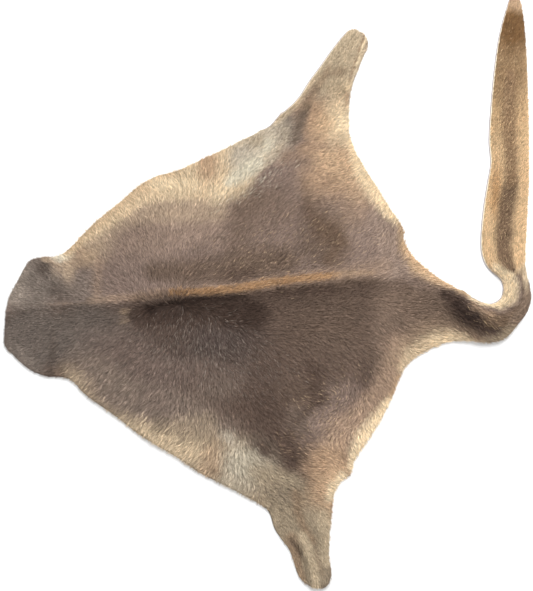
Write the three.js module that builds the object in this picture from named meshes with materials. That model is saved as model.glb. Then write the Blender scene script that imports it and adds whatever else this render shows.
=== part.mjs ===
// Kangaroo hide: one tanned skin with its coat on, opened along the belly and laid flat, coat side up.
// X runs from the head to the root of the tail, Y across the hide and Z up, in millimetres.
// The origin lies on the floor, under the middle of the hide's box.

import * as THREE from 'three';

// Thickness of the leather and of the coat that lies on it, in the open and at the cut edge.
const LEATHER = 2;
const COAT = 6;
const COAT_AT_EDGE = 1.5;
const EDGE_ROUNDING = 24;

// The raised line of the backbone: how far its two slopes run out, and the trough along its lower side.
const CREST_UPPER_SLOPE = 58;
const CREST_LOWER_SLOPE = 24;
const TROUGH_DEPTH = 2.5;
const TROUGH_PLACE = 52;
const TROUGH_WIDTH = 26;
const TROUGH_FULL_CREST = 18;

// The skin lifts off the floor only where a fold stands higher than this.
const LIFT_FROM = 3;

// Soft waves of the whole skin, as it lies: height, length along X and Y, and start.
const WAVES = rows(['height', 'alongX', 'alongY', 'start'], [
  [1.1, 310, 460, 0.4],
  [0.8, 170, -240, 1.9],
  [0.5, -95, 120, 3.1],
]);

// Spacing of the sections, and cells from the edge to the backbone, across a leg and along it.
const SECTION_STEP = 17;
const HALF_CELLS = 9;
const LEG_CELLS = 9;
const LEG_STEP = 15;
const EDGE_CROWDING = 0.09;

// Sections across the hide, a row for each. ux and uy are the section's end on the upper edge, lx and ly its
// end on the lower edge, spine is the share of the way from lower to upper end at which the backbone crosses,
// crest is how far the sharp line of the backbone stands up there, and arch how far the section is bowed up.
const SECTION = ['ux', 'uy', 'lx', 'ly', 'spine', 'crest', 'arch'];

// From the muzzle to the front of the hind legs.
const FORE = rows(SECTION, [
  [-523, -49, -527, -96, 0.5, 1, 0],
  [-521, -19, -522, -108, 0.62, 2, 0],
  [-514, 5, -510, -120, 0.64, 3, 0],
  [-501, 31, -498, -133, 0.62, 4, 0],
  [-486, 60, -484, -146, 0.58, 5, 0],
  [-472, 76, -466, -158, 0.56, 6, 0],
  [-443, 80, -437, -167, 0.575, 7, 0],
  [-417, 83, -409, -168, 0.585, 8, 0],
  [-397, 97, -391, -175, 0.572, 9, 0],
  [-371, 125, -371, -198, 0.559, 10, 0],
  [-340, 155, -341, -222, 0.547, 12, 0],
  [-299, 188, -300, -251, 0.537, 14, 0],
  [-258, 223, -260, -282, 0.542, 17, 0],
  [-224, 242, -224, -304, 0.552, 20, 0],
  [-177, 255, -181, -329, 0.567, 21, 0],
  [-133, 275, -134, -361, 0.578, 21, 0],
  [-83, 298, -91, -382, 0.574, 19, 0],
  [-33, 323, -53, -401, 0.571, 17, 0],
  [3, 337, -23, -416, 0.571, 15, 0],
  [25, 361, -2, -430, 0.567, 14, 0],
]);

// From the back of the hind legs over the rump to the tip of the tail.
const AFT = rows(SECTION, [
  [167, 319, 137, -397, 0.598, 11, 0],
  [178, 286, 149, -375, 0.616, 10, 0],
  [199, 252, 169, -360, 0.644, 9, 0],
  [225, 213, 179, -331, 0.678, 8, 0],
  [247, 177, 203, -293, 0.7, 6, 0],
  [265, 151, 229, -253, 0.71, 4.5, 1],
  [275, 133, 249, -213, 0.71, 3.5, 2],
  [277, 111, 265, -169, 0.695, 2.5, 3],
  [290, 87, 279, -141, 0.67, 1.5, 5],
  [314, 64, 303, -121, 0.63, 0.5, 7],
  [347, 39, 335, -106, 0.59, 0, 9],
  [385, 17, 367, -96, 0.56, 0, 11],
  [409, -2, 399, -95, 0.54, 0, 13],
  [429, -12, 431, -98, 0.52, 0, 14],
  [445, -16, 457, -98, 0.5, 0, 15],
  [459, -12, 484, -86, 0.5, 0, 16],
  [469, -3, 505, -62, 0.5, 0, 16],
  [472, 9, 524, -36, 0.5, 0, 16],
  [472, 19, 532, -7, 0.5, 0, 15],
  [467, 32, 529, 17, 0.5, 0, 13],
  [452, 44, 522, 36, 0.5, 0, 11],
  [438, 60, 518, 59, 0.5, 0, 9],
  [429, 85, 518, 87, 0.5, 0, 7],
  [428, 121, 519, 123, 0.5, 0, 6],
  [433, 175, 521, 177, 0.5, 0, 5],
  [441, 227, 524, 227, 0.5, 0, 5],
  [447, 263, 524, 263, 0.5, 0, 5],
  [444, 311, 524, 311, 0.5, 0, 5],
  [448, 381, 523, 381, 0.5, 0, 5],
  [454, 447, 521, 447, 0.5, 0, 4],
  [462, 507, 518, 511, 0.5, 0, 4],
  [472, 551, 514, 555, 0.5, 0, 3],
  [484, 589, 508, 591, 0.5, 0, 2],
  [491, 607, 501, 609, 0.5, 0, 1],
  [494, 612, 498, 613, 0.5, 0, 0],
]);

// Sections across a hind leg, from its root to its tip: fx and fy on the leg's front edge, bx and by on its back.
const LEG_SECTION = ['fx', 'fy', 'bx', 'by'];
const UPPER_LEG = rows(LEG_SECTION, [
  [25, 361, 167, 319],
  [45, 377, 165, 347],
  [65, 398, 165, 375],
  [85, 429, 169, 405],
  [105, 456, 177, 433],
  [127, 487, 187, 457],
  [147, 513, 198, 483],
  [160, 527, 204, 499],
  [169, 532, 203, 510],
  [178, 533, 195, 522],
]);
const LOWER_LEG = rows(LEG_SECTION, [
  [-2, -430, 137, -397],
  [6, -446, 134, -423],
  [13, -468, 132, -449],
  [29, -491, 129, -475],
  [42, -508, 127, -503],
  [51, -529, 127, -527],
  [59, -556, 132, -551],
  [69, -571, 130, -569],
  [83, -582, 125, -580],
  [97, -588, 113, -588],
]);

// Folds beside the backbone, a row for each: a bowed line from x0, y0 past x1, y1 to x2, y2, its height, and
// how far its slopes reach on the left and the right of that way. A negative height is a hollow.
const FOLDS = rows(['x0', 'y0', 'x1', 'y1', 'x2', 'y2', 'height', 'left', 'right'], [
  [202, 545, 172, 461, 150, 385, 9, 11, 34],
  [150, 540, 96, 440, 60, 392, 4, 14, 22],
  [175, 345, 140, 250, 105, 150, 5, 45, 45],
  [95, 185, 130, 130, 170, 85, -2.5, 40, 40],
  [203, -23, 200, -149, 161, -280, -2.5, 26, 26],
  [35, -270, 83, -239, 131, -208, 4, 22, 26],
  [58, -478, 90, -525, 101, -600, 9, 20, 9],
  [104, -440, 119, -513, 121, -600, 6, 18, 12],
  [355, -5, 405, -40, 455, -72, 6, 26, 26],
  [-480, 75, -452, 40, -425, 0, 4, 20, 26],
  [-300, -60, -262, -45, -225, -30, -2.5, 24, 24],
  [-330, 160, -250, 130, -160, 190, 3, 50, 50],
  [-260, -280, -200, -230, -90, -330, 3, 50, 50],
]);
const FOLD_STEPS = 20;
const FOLD_FADE = 0.22;

// Turns plain rows of numbers into rows with named columns.
function rows(names, values) {
  return values.map((row) => Object.fromEntries(names.map((name, i) => [name, row[i]])));
}

function mix(a, b, share) {
  return a + (b - a) * share;
}

// Where each row of a table lies along the hide: the mean of its two edges' lengths up to it.
function stations(table, [ax, ay, bx, by]) {
  const places = [0];
  for (let i = 1; i < table.length; i += 1) {
    const [here, last] = [table[i], table[i - 1]];
    const first = Math.hypot(here[ax] - last[ax], here[ay] - last[ay]);
    const second = Math.hypot(here[bx] - last[bx], here[by] - last[by]);
    places.push(places[i - 1] + (first + second) / 2);
  }
  return places;
}

// A row between the given ones: each column follows a smooth curve through its values.
function rowAt(table, places, place) {
  const last = table.length - 1;
  let i = 0;
  while (i < last - 1 && places[i + 1] < place) i += 1;
  const span = places[i + 1] - places[i];
  const t = (place - places[i]) / span;
  const slope = (name, k) => {
    const [before, after] = [Math.max(k - 1, 0), Math.min(k + 1, last)];
    return (table[after][name] - table[before][name]) / (places[after] - places[before]);
  };
  const row = {};
  for (const name of Object.keys(table[0])) {
    const [p, q] = [table[i][name], table[i + 1][name]];
    const [m, n] = [slope(name, i) * span, slope(name, i + 1) * span];
    row[name] = p + m * t + (3 * (q - p) - 2 * m - n) * t ** 2 + (2 * (p - q) + m + n) * t ** 3;
  }
  return row;
}

// Evenly spaced rows along a table.
function spread(table, ends, step) {
  const places = stations(table, ends);
  const total = places[places.length - 1];
  const count = Math.ceil(total / step);
  return Array.from({ length: count + 1 }, (_, i) => rowAt(table, places, (total * i) / count));
}

// Rows on a straight way from one row to another, both ends included.
function between(start, end, count) {
  return Array.from({ length: count + 1 }, (_, i) => {
    const names = Object.keys(start);
    return Object.fromEntries(names.map((name) => [name, mix(start[name], end[name], i / count)]));
  });
}

// Shares of the way from an edge to the backbone, closer together near both.
function halfShares() {
  return Array.from({ length: HALF_CELLS + 1 }, (_, i) => {
    const t = i / HALF_CELLS;
    return t - EDGE_CROWDING * Math.sin(2 * Math.PI * t);
  });
}

// The points of one section, from its lower end over the backbone to its upper end.
function sectionPoints(row) {
  const shares = halfShares();
  const lower = shares.map((share) => share * row.spine);
  const upper = shares.slice(0, -1).reverse().map((share) => 1 - share * (1 - row.spine));
  const length = Math.hypot(row.ux - row.lx, row.uy - row.ly);
  return [...lower, ...upper].map((share) => ({
    x: mix(row.lx, row.ux, share),
    y: mix(row.ly, row.uy, share),
    crest: row.crest,
    arch: row.arch,
    fromSpine: (share - row.spine) * length,
    half: (share > row.spine ? 1 - row.spine : row.spine) * length,
  }));
}

function legPoints(row) {
  return Array.from({ length: LEG_CELLS + 1 }, (_, i) => ({
    x: mix(row.fx, row.bx, i / LEG_CELLS),
    y: mix(row.fy, row.by, i / LEG_CELLS),
    crest: 0,
    arch: 0,
    fromSpine: 0,
    half: 1,
  }));
}

// The plan of the hide: shared points, and four-sided cells that all turn the same way.
class Plan {
  constructor() {
    this.points = [];
    this.cells = [];
    this.known = new Map();
  }

  add(point) {
    const key = `${point.x.toFixed(2)} ${point.y.toFixed(2)}`;
    if (!this.known.has(key)) {
      this.known.set(key, this.points.length);
      this.points.push(point);
    }
    return this.known.get(key);
  }

  addGrid(grid, flipped) {
    const numbers = grid.map((line) => line.map((point) => this.add(point)));
    for (let i = 0; i + 1 < numbers.length; i += 1) {
      for (let j = 0; j + 1 < numbers[i].length; j += 1) {
        const cell = [numbers[i][j], numbers[i + 1][j], numbers[i + 1][j + 1], numbers[i][j + 1]];
        this.cells.push(flipped ? cell.reverse() : cell);
      }
    }
  }

  // Sides that only one cell has, in the way that this cell goes round.
  rim() {
    const sides = new Map();
    for (const cell of this.cells) {
      cell.forEach((a, i) => sides.set(`${a} ${cell[(i + 1) % 4]}`, [a, cell[(i + 1) % 4]]));
    }
    return [...sides.values()].filter(([a, b]) => !sides.has(`${b} ${a}`));
  }
}

function makePlan() {
  const plan = new Plan();
  const edges = ['ux', 'uy', 'lx', 'ly'];
  const fore = spread(FORE, edges, SECTION_STEP);
  const aft = spread(AFT, edges, SECTION_STEP);
  const loins = between(fore[fore.length - 1], aft[0], LEG_CELLS);
  const trunk = [...fore, ...loins.slice(1, -1), ...aft];
  plan.addGrid(trunk.map(sectionPoints), false);
  plan.addGrid(spread(UPPER_LEG, LEG_SECTION, LEG_STEP).map(legPoints), true);
  plan.addGrid(spread(LOWER_LEG, LEG_SECTION, LEG_STEP).map(legPoints), false);
  return plan;
}

// Height of the backbone's crest: sharp on top, long on its upper side, short with a trough on its lower side.
// The arch of the section is a bow from edge to edge.
function crestRise({ crest, arch, fromSpine, half }) {
  const above = fromSpine > 0;
  const slope = Math.min(above ? CREST_UPPER_SLOPE : CREST_LOWER_SLOPE, half / 2);
  const rise = crest * Math.exp(-Math.abs(fromSpine) / slope) + arch * (1 - (fromSpine / half) ** 2);
  if (above) return rise;
  const fromTrough = (fromSpine + TROUGH_PLACE) / TROUGH_WIDTH;
  return rise - TROUGH_DEPTH * Math.min(crest / TROUGH_FULL_CREST, 1) * Math.exp(-(fromTrough ** 2));
}

// Height of one fold: a rounded ridge along its bowed line, which dies out towards both ends.
function foldRise(fold, x, y) {
  let nearest = { distance: Infinity };
  for (let i = 0; i <= FOLD_STEPS; i += 1) {
    const t = i / FOLD_STEPS;
    const px = (1 - t) ** 2 * fold.x0 + 2 * t * (1 - t) * fold.x1 + t ** 2 * fold.x2;
    const py = (1 - t) ** 2 * fold.y0 + 2 * t * (1 - t) * fold.y1 + t ** 2 * fold.y2;
    const dx = 2 * (1 - t) * (fold.x1 - fold.x0) + 2 * t * (fold.x2 - fold.x1);
    const dy = 2 * (1 - t) * (fold.y1 - fold.y0) + 2 * t * (fold.y2 - fold.y1);
    const distance = Math.hypot(x - px, y - py);
    if (distance < nearest.distance) nearest = { distance, t, side: dx * (y - py) - dy * (x - px) };
  }
  const reach = nearest.side > 0 ? fold.left : fold.right;
  const fade = Math.min(nearest.t / FOLD_FADE, (1 - nearest.t) / FOLD_FADE, 1);
  return fold.height * fade * fade * (3 - 2 * fade) * Math.exp(-((nearest.distance / reach) ** 2));
}

function waveRise(x, y) {
  const turn = (wave) => 2 * Math.PI * (x / wave.alongX + y / wave.alongY) + wave.start;
  return WAVES.reduce((sum, wave) => sum + wave.height * Math.sin(turn(wave)), 0);
}

// Top and underside of the hide over each point of the plan.
function heights(plan, rim) {
  const edge = rim.map(([a]) => plan.points[a]);
  return plan.points.map((point) => {
    const folds = FOLDS.reduce((sum, fold) => sum + foldRise(fold, point.x, point.y), 0);
    const rise = crestRise(point) + folds;
    const inward = Math.min(...edge.map((e) => Math.hypot(point.x - e.x, point.y - e.y)));
    const round = Math.sqrt(1 - (1 - Math.min(inward / EDGE_ROUNDING, 1)) ** 2);
    const under = Math.max(rise - LIFT_FROM, 0);
    const coat = mix(COAT_AT_EDGE, COAT + waveRise(point.x, point.y) + Math.min(rise, LIFT_FROM), round);
    return { under, top: under + LEATHER + Math.max(coat, COAT_AT_EDGE) };
  });
}

// The hide as one closed solid: top, underside and the cut edge between them.
function hideGeometry() {
  const plan = makePlan();
  const rim = plan.rim();
  const level = heights(plan, rim);
  const count = plan.points.length;
  const box = new THREE.Box2().setFromPoints(plan.points.map(({ x, y }) => new THREE.Vector2(x, y)));
  const middle = box.getCenter(new THREE.Vector2());
  const place = (z) => plan.points.flatMap(({ x, y }, i) => [x - middle.x, y - middle.y, z(level[i])]);
  const position = [...place(({ top }) => top), ...place(({ under }) => under)];
  const index = [];
  for (const [a, b, c, d] of plan.cells) {
    index.push(a, b, c, a, c, d);
    index.push(count + a, count + c, count + b, count + a, count + d, count + c);
  }
  for (const [a, b] of rim) index.push(a, count + a, count + b, a, count + b, b);
  const geometry = new THREE.BufferGeometry();
  geometry.setAttribute('position', new THREE.Float32BufferAttribute(position, 3));
  geometry.setIndex(index);
  geometry.computeVertexNormals();
  return geometry;
}

const coat = new THREE.MeshStandardMaterial({ color: 0x8c7a68, roughness: 0.9, metalness: 0 });

const group = new THREE.Group();
const hide = new THREE.Mesh(hideGeometry(), coat);
hide.name = 'hide';
group.add(hide);

export default group;
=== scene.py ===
"""Kangaroo hide: one tanned skin with its coat on, laid flat, coat side up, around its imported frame.

Plan places are in millimetres, X from the head to the root of the tail and Y across the hide, as on the
cutting plan. Meshes are in metres in the frame's own place.
"""

from __future__ import annotations

import logging
import math
from dataclasses import dataclass, field, replace
from enum import Enum, IntEnum
from typing import NamedTuple

import bpy
import numpy as np
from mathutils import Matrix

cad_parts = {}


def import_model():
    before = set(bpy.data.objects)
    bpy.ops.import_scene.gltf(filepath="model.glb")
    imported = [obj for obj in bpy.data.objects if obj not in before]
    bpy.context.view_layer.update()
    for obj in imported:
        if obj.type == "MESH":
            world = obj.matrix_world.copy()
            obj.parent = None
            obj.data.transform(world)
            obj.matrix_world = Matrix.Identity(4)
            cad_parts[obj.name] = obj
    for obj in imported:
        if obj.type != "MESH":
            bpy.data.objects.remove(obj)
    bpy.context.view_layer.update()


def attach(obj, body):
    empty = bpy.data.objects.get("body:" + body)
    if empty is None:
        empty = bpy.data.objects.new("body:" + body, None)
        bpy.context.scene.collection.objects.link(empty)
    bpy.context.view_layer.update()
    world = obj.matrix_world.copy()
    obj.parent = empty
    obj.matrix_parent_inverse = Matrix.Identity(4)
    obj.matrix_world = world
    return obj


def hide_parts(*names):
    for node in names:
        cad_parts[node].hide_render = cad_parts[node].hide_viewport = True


log = logging.getLogger("kangaroo_hide")

MM = 0.001

# Depths inside a bare edge, in millimetres, where hair starts to cover the leather and covers it in full.
COVERED_FROM, COVERED_AT = 3.4, 4.4
# Y of the line that parts the upper pieces of the coat from the lower ones, in millimetres.
PARTING = 8.0
# How soft the outlines of the patches of growth and of mixed hair are, as a share of the patch.
PATCH_SOFT = 0.7
# The shortest and longest wave of a random field, as shares of its length.
WAVE_SPREAD = (0.6, 1.6)

# Places along a line on the hide: X, Y and a width or other value at each.
Run = tuple[tuple[float, float, float], ...]


class Seed(IntEnum):
    """The seed of each random field and draw, so that every run gives the same hide."""

    STRANDS = 5
    WANDER_X = 11
    WANDER_Y = 12
    SWAY = 21
    WARP_X = 31
    WARP_Y = 32
    TUFTS = 33
    LOCKS = 34
    FINE_LOCKS = 35
    RAGGED = 36
    MOTTLE = 40


def srgb_to_linear(code: str) -> np.ndarray:
    """Turns an sRGB hex colour into linear light.

    Args:
        code: six hex digits.

    Returns:
        The three linear channels.
    """
    channels = np.array([int(code[i:i + 2], 16) / 255.0 for i in (0, 2, 4)])
    return np.where(channels <= 0.04045, channels / 12.92, ((channels + 0.055) / 1.055) ** 2.4)


def smooth_step(x: np.ndarray) -> np.ndarray:
    """Rises from 0 at x = 0 to 1 at x = 1 with level ends, as 3x^2 - 2x^3."""
    t = np.clip(x, 0.0, 1.0)
    return t * t * (3.0 - 2.0 * t)


def unit(v: np.ndarray) -> np.ndarray:
    """Scales each row to length 1."""
    return v / np.maximum(np.linalg.norm(v, axis=-1, keepdims=True), 1e-9)


def turned(way: np.ndarray, turn: np.ndarray) -> np.ndarray:
    """Turns each plan direction by its own angle in radians."""
    c, s = np.cos(turn), np.sin(turn)
    return np.stack([way[:, 0] * c - way[:, 1] * s, way[:, 0] * s + way[:, 1] * c], axis=1)


def ripple(x: np.ndarray, y: np.ndarray, seed: int, length: float, waves: int = 6) -> np.ndarray:
    """A smooth random field: the mean of a few sine waves of about one length in random directions.

    Args:
        x: places along X in millimetres.
        y: places along Y in millimetres.
        seed: picks the waves.
        length: mean wavelength in millimetres.
        waves: how many are added.

    Returns:
        Values of about -1 to 1.
    """
    rng = np.random.default_rng(seed)
    angle = rng.uniform(0.0, 2.0 * math.pi, waves)
    size = length * rng.uniform(*WAVE_SPREAD, waves)
    start = rng.uniform(0.0, 2.0 * math.pi, waves)
    heights = np.sin(2.0 * math.pi * (np.multiply.outer(x, np.cos(angle) / size)
                                      + np.multiply.outer(y, np.sin(angle) / size)) + start)
    return heights.mean(axis=-1) * math.sqrt(waves / 2.0)


@dataclass
class Cloud:
    """Places on the hide with what is known of each: plan place, height, backbone, fold and edge."""

    x: np.ndarray
    y: np.ndarray
    crest: np.ndarray
    arch: np.ndarray
    from_spine: np.ndarray
    half: np.ndarray
    inward: np.ndarray = field(default_factory=lambda: np.zeros(0))

    def blend(self, corners: np.ndarray, weights: np.ndarray) -> Cloud:
        """Places inside the cells, as weighted means of the corners.

        Args:
            corners: for each new place, the numbers of its cell's four points.
            weights: their four weights.

        Returns:
            The new places.
        """
        names = ("x", "y", "crest", "arch", "from_spine", "half", "inward")
        return Cloud(**{name: (getattr(self, name)[corners] * weights).sum(axis=1) for name in names})

    def moved(self, dx: np.ndarray, dy: np.ndarray) -> Cloud:
        """The same places a little way off, with the distance from the backbone kept in step."""
        return replace(self, x=self.x + dx, y=self.y + dy, from_spine=self.from_spine + dy)


def to_run(x: np.ndarray, y: np.ndarray, run: np.ndarray) -> tuple[np.ndarray, np.ndarray, np.ndarray]:
    """Distance from each place to a run of straight lines, and the run's third column at the nearest place.

    For each line from A to B, the nearest place is A + t(B - A) with t cut to 0..1.

    Args:
        x: places along X.
        y: places along Y.
        run: rows of X, Y and a value.

    Returns:
        Distance, the value at the nearest place, and the side: positive to the left of the run.
    """
    best = np.full(x.shape, np.inf)
    value = np.zeros_like(best)
    side = np.zeros_like(best)
    for (ax, ay, av), (bx, by, bv) in zip(run[:-1], run[1:]):
        dx, dy = bx - ax, by - ay
        t = np.clip(((x - ax) * dx + (y - ay) * dy) / (dx * dx + dy * dy), 0.0, 1.0)
        away = np.hypot(x - ax - t * dx, y - ay - t * dy)
        near = away < best
        best = np.where(near, away, best)
        value = np.where(near, av + t * (bv - av), value)
        side = np.where(near, dx * (y - ay) - dy * (x - ax), side)
    return best, value, side


def near_run(p: Cloud, run: np.ndarray, reach: float) -> np.ndarray:
    """Picks the places inside a run's box, grown by a reach.

    Args:
        p: places on the hide.
        run: rows of X, Y and more.
        reach: how much the box grows.

    Returns:
        True for each place inside.
    """
    low, high = run[:, :2].min(axis=0) - reach, run[:, :2].max(axis=0) + reach
    return (p.x > low[0]) & (p.x < high[0]) & (p.y > low[1]) & (p.y < high[1])


# Sections across the hide, a row for each: X and Y of its end on the upper edge, X and Y of its end on the
# lower edge, the share of the way from lower to upper end at which the backbone crosses, how far the sharp
# line of the backbone stands up there, and how far the whole section is bowed up.
# From the muzzle to the front of the hind legs:
FORE = (
    (-523, -49, -527, -96, 0.5, 1, 0),
    (-521, -19, -522, -108, 0.62, 2, 0),
    (-514, 5, -510, -120, 0.64, 3, 0),
    (-501, 31, -498, -133, 0.62, 4, 0),
    (-486, 60, -484, -146, 0.58, 5, 0),
    (-472, 76, -466, -158, 0.56, 6, 0),
    (-443, 80, -437, -167, 0.575, 7, 0),
    (-417, 83, -409, -168, 0.585, 8, 0),
    (-397, 97, -391, -175, 0.572, 9, 0),
    (-371, 125, -371, -198, 0.559, 10, 0),
    (-340, 155, -341, -222, 0.547, 12, 0),
    (-299, 188, -300, -251, 0.537, 14, 0),
    (-258, 223, -260, -282, 0.542, 17, 0),
    (-224, 242, -224, -304, 0.552, 20, 0),
    (-177, 255, -181, -329, 0.567, 21, 0),
    (-133, 275, -134, -361, 0.578, 21, 0),
    (-83, 298, -91, -382, 0.574, 19, 0),
    (-33, 323, -53, -401, 0.571, 17, 0),
    (3, 337, -23, -416, 0.571, 15, 0),
    (25, 361, -2, -430, 0.567, 14, 0),
)

# From the back of the hind legs over the rump to the tip of the tail:
AFT = (
    (167, 319, 137, -397, 0.598, 11, 0),
    (178, 286, 149, -375, 0.616, 10, 0),
    (199, 252, 169, -360, 0.644, 9, 0),
    (225, 213, 179, -331, 0.678, 8, 0),
    (247, 177, 203, -293, 0.7, 6, 0),
    (265, 151, 229, -253, 0.71, 4.5, 1),
    (275, 133, 249, -213, 0.71, 3.5, 2),
    (277, 111, 265, -169, 0.695, 2.5, 3),
    (290, 87, 279, -141, 0.67, 1.5, 5),
    (314, 64, 303, -121, 0.63, 0.5, 7),
    (347, 39, 335, -106, 0.59, 0, 9),
    (385, 17, 367, -96, 0.56, 0, 11),
    (409, -2, 399, -95, 0.54, 0, 13),
    (429, -12, 431, -98, 0.52, 0, 14),
    (445, -16, 457, -98, 0.5, 0, 15),
    (459, -12, 484, -86, 0.5, 0, 16),
    (469, -3, 505, -62, 0.5, 0, 16),
    (472, 9, 524, -36, 0.5, 0, 16),
    (472, 19, 532, -7, 0.5, 0, 15),
    (467, 32, 529, 17, 0.5, 0, 13),
    (452, 44, 522, 36, 0.5, 0, 11),
    (438, 60, 518, 59, 0.5, 0, 9),
    (429, 85, 518, 87, 0.5, 0, 7),
    (428, 121, 519, 123, 0.5, 0, 6),
    (433, 175, 521, 177, 0.5, 0, 5),
    (441, 227, 524, 227, 0.5, 0, 5),
    (447, 263, 524, 263, 0.5, 0, 5),
    (444, 311, 524, 311, 0.5, 0, 5),
    (448, 381, 523, 381, 0.5, 0, 5),
    (454, 447, 521, 447, 0.5, 0, 4),
    (462, 507, 518, 511, 0.5, 0, 4),
    (472, 551, 514, 555, 0.5, 0, 3),
    (484, 589, 508, 591, 0.5, 0, 2),
    (491, 607, 501, 609, 0.5, 0, 1),
    (494, 612, 498, 613, 0.5, 0, 0),
)

# Sections across a hind leg, from its root to its tip: ends on the leg's front edge and on its back edge.
UPPER_LEG = (
    (25, 361, 167, 319),
    (45, 377, 165, 347),
    (65, 398, 165, 375),
    (85, 429, 169, 405),
    (105, 456, 177, 433),
    (127, 487, 187, 457),
    (147, 513, 198, 483),
    (160, 527, 204, 499),
    (169, 532, 203, 510),
    (178, 533, 195, 522),
)
LOWER_LEG = (
    (-2, -430, 137, -397),
    (6, -446, 134, -423),
    (13, -468, 132, -449),
    (29, -491, 129, -475),
    (42, -508, 127, -503),
    (51, -529, 127, -527),
    (59, -556, 132, -551),
    (69, -571, 130, -569),
    (83, -582, 125, -580),
    (97, -588, 113, -588),
)


class Fold(NamedTuple):
    """A fold beside the backbone: its bowed line, its height and the reach of its slopes on either side."""

    x0: float
    y0: float
    x1: float
    y1: float
    x2: float
    y2: float
    height: float
    left: float
    right: float


FOLDS = (
    Fold(202, 545, 172, 461, 150, 385, 9, 11, 34),
    Fold(150, 540, 96, 440, 60, 392, 4, 14, 22),
    Fold(175, 345, 140, 250, 105, 150, 5, 45, 45),
    Fold(95, 185, 130, 130, 170, 85, -2.5, 40, 40),
    Fold(203, -23, 200, -149, 161, -280, -2.5, 26, 26),
    Fold(35, -270, 83, -239, 131, -208, 4, 22, 26),
    Fold(58, -478, 90, -525, 101, -600, 9, 20, 9),
    Fold(104, -440, 119, -513, 121, -600, 6, 18, 12),
    Fold(355, -5, 405, -40, 455, -72, 6, 26, 26),
    Fold(-480, 75, -452, 40, -425, 0, 4, 20, 26),
    Fold(-300, -60, -262, -45, -225, -30, -2.5, 24, 24),
    Fold(-330, 160, -250, 130, -160, 190, 3, 50, 50),
    Fold(-260, -280, -200, -230, -90, -330, 3, 50, 50),
)


class Way(NamedTuple):
    """The way that the hair lies at one place: X, Y and the angle of its tips from X in degrees."""

    x: float
    y: float
    angle: float


WAYS = tuple(Way(*row) for row in (
    # The head.
    (-480, 40, 145), (-440, 60, 145), (-490, -10, 160), (-500, -35, 180), (-420, -20, 180),
    (-340, -18, 180), (-490, -70, 210), (-440, -100, 215), (-470, -130, 215),
    # The upper side, from the neck to the end of the upper hind leg.
    (-390, 60, 140), (-360, 20, 155), (-370, 100, 128), (-320, 60, 132), (-310, 130, 122), (-260, 190, 127),
    (-230, 80, 110), (-215, 150, 104), (-190, 235, 122), (-205, 20, 100), (-170, 90, 76), (-165, 170, 72),
    (-110, 262, 92), (-130, 130, 56), (-90, 70, 46), (-80, 230, 62), (-30, 180, 48), (-10, 290, 42),
    (0, 90, 47), (80, 110, 46), (60, 250, 40), (-130, 22, 30), (-20, 20, 24), (100, 35, 24), (200, 45, 28),
    (90, 300, 24), (120, 240, 17), (150, 190, 22), (160, 270, 30), (200, 235, 47), (230, 160, 55),
    (190, 110, 42), (270, 110, 62), (100, 370, 42), (130, 430, 50), (175, 500, 55),
    # Along the backbone and the top of the rump.
    (-60, -25, 16), (60, -5, 22), (160, 5, 30), (60, -60, 0), (170, -60, -8),
    # The lower side, from the neck to the end of the lower hind leg.
    (-350, -80, 215), (-330, -150, 222), (-260, -110, 226), (-240, -200, 236), (-290, -230, 222),
    (-200, -60, 250), (-160, -90, 262), (-150, -180, 262), (-180, -290, 228), (-110, -80, 276),
    (-110, -220, 274), (-130, -330, 226), (-60, -110, 306), (-60, -250, 286), (-85, -300, 262),
    (0, -150, 315), (20, -230, 318), (-20, -350, 312), (-50, -390, 236), (90, -110, 318), (60, -280, 344),
    (95, -200, 345), (125, -160, 322), (60, -340, 338), (120, -200, 330), (170, -110, 322), (235, -60, 320),
    (240, -140, 308), (210, -190, 300), (145, -205, 222), (120, -245, 218), (165, -240, 232),
    (182, -200, 268), (195, -280, 284), (150, -345, 316), (100, -340, 352), (30, -400, 328),
    (85, -395, 350), (40, -450, 308), (90, -450, 304), (75, -520, 298), (105, -570, 286),
    # The root, the bend and the length of the tail.
    (300, -20, 4), (310, 50, -2), (330, -80, 2), (345, 0, 352), (380, -30, 325), (430, -55, 318),
    (470, -50, 335), (500, -20, 52), (500, 15, 68), (470, 42, 118), (490, 50, 112), (450, 90, 72),
    (495, 90, 84), (465, 160, 58), (500, 180, 52), (470, 300, 66), (500, 330, 62), (490, 460, 64),
    (492, 570, 66),
))


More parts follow.
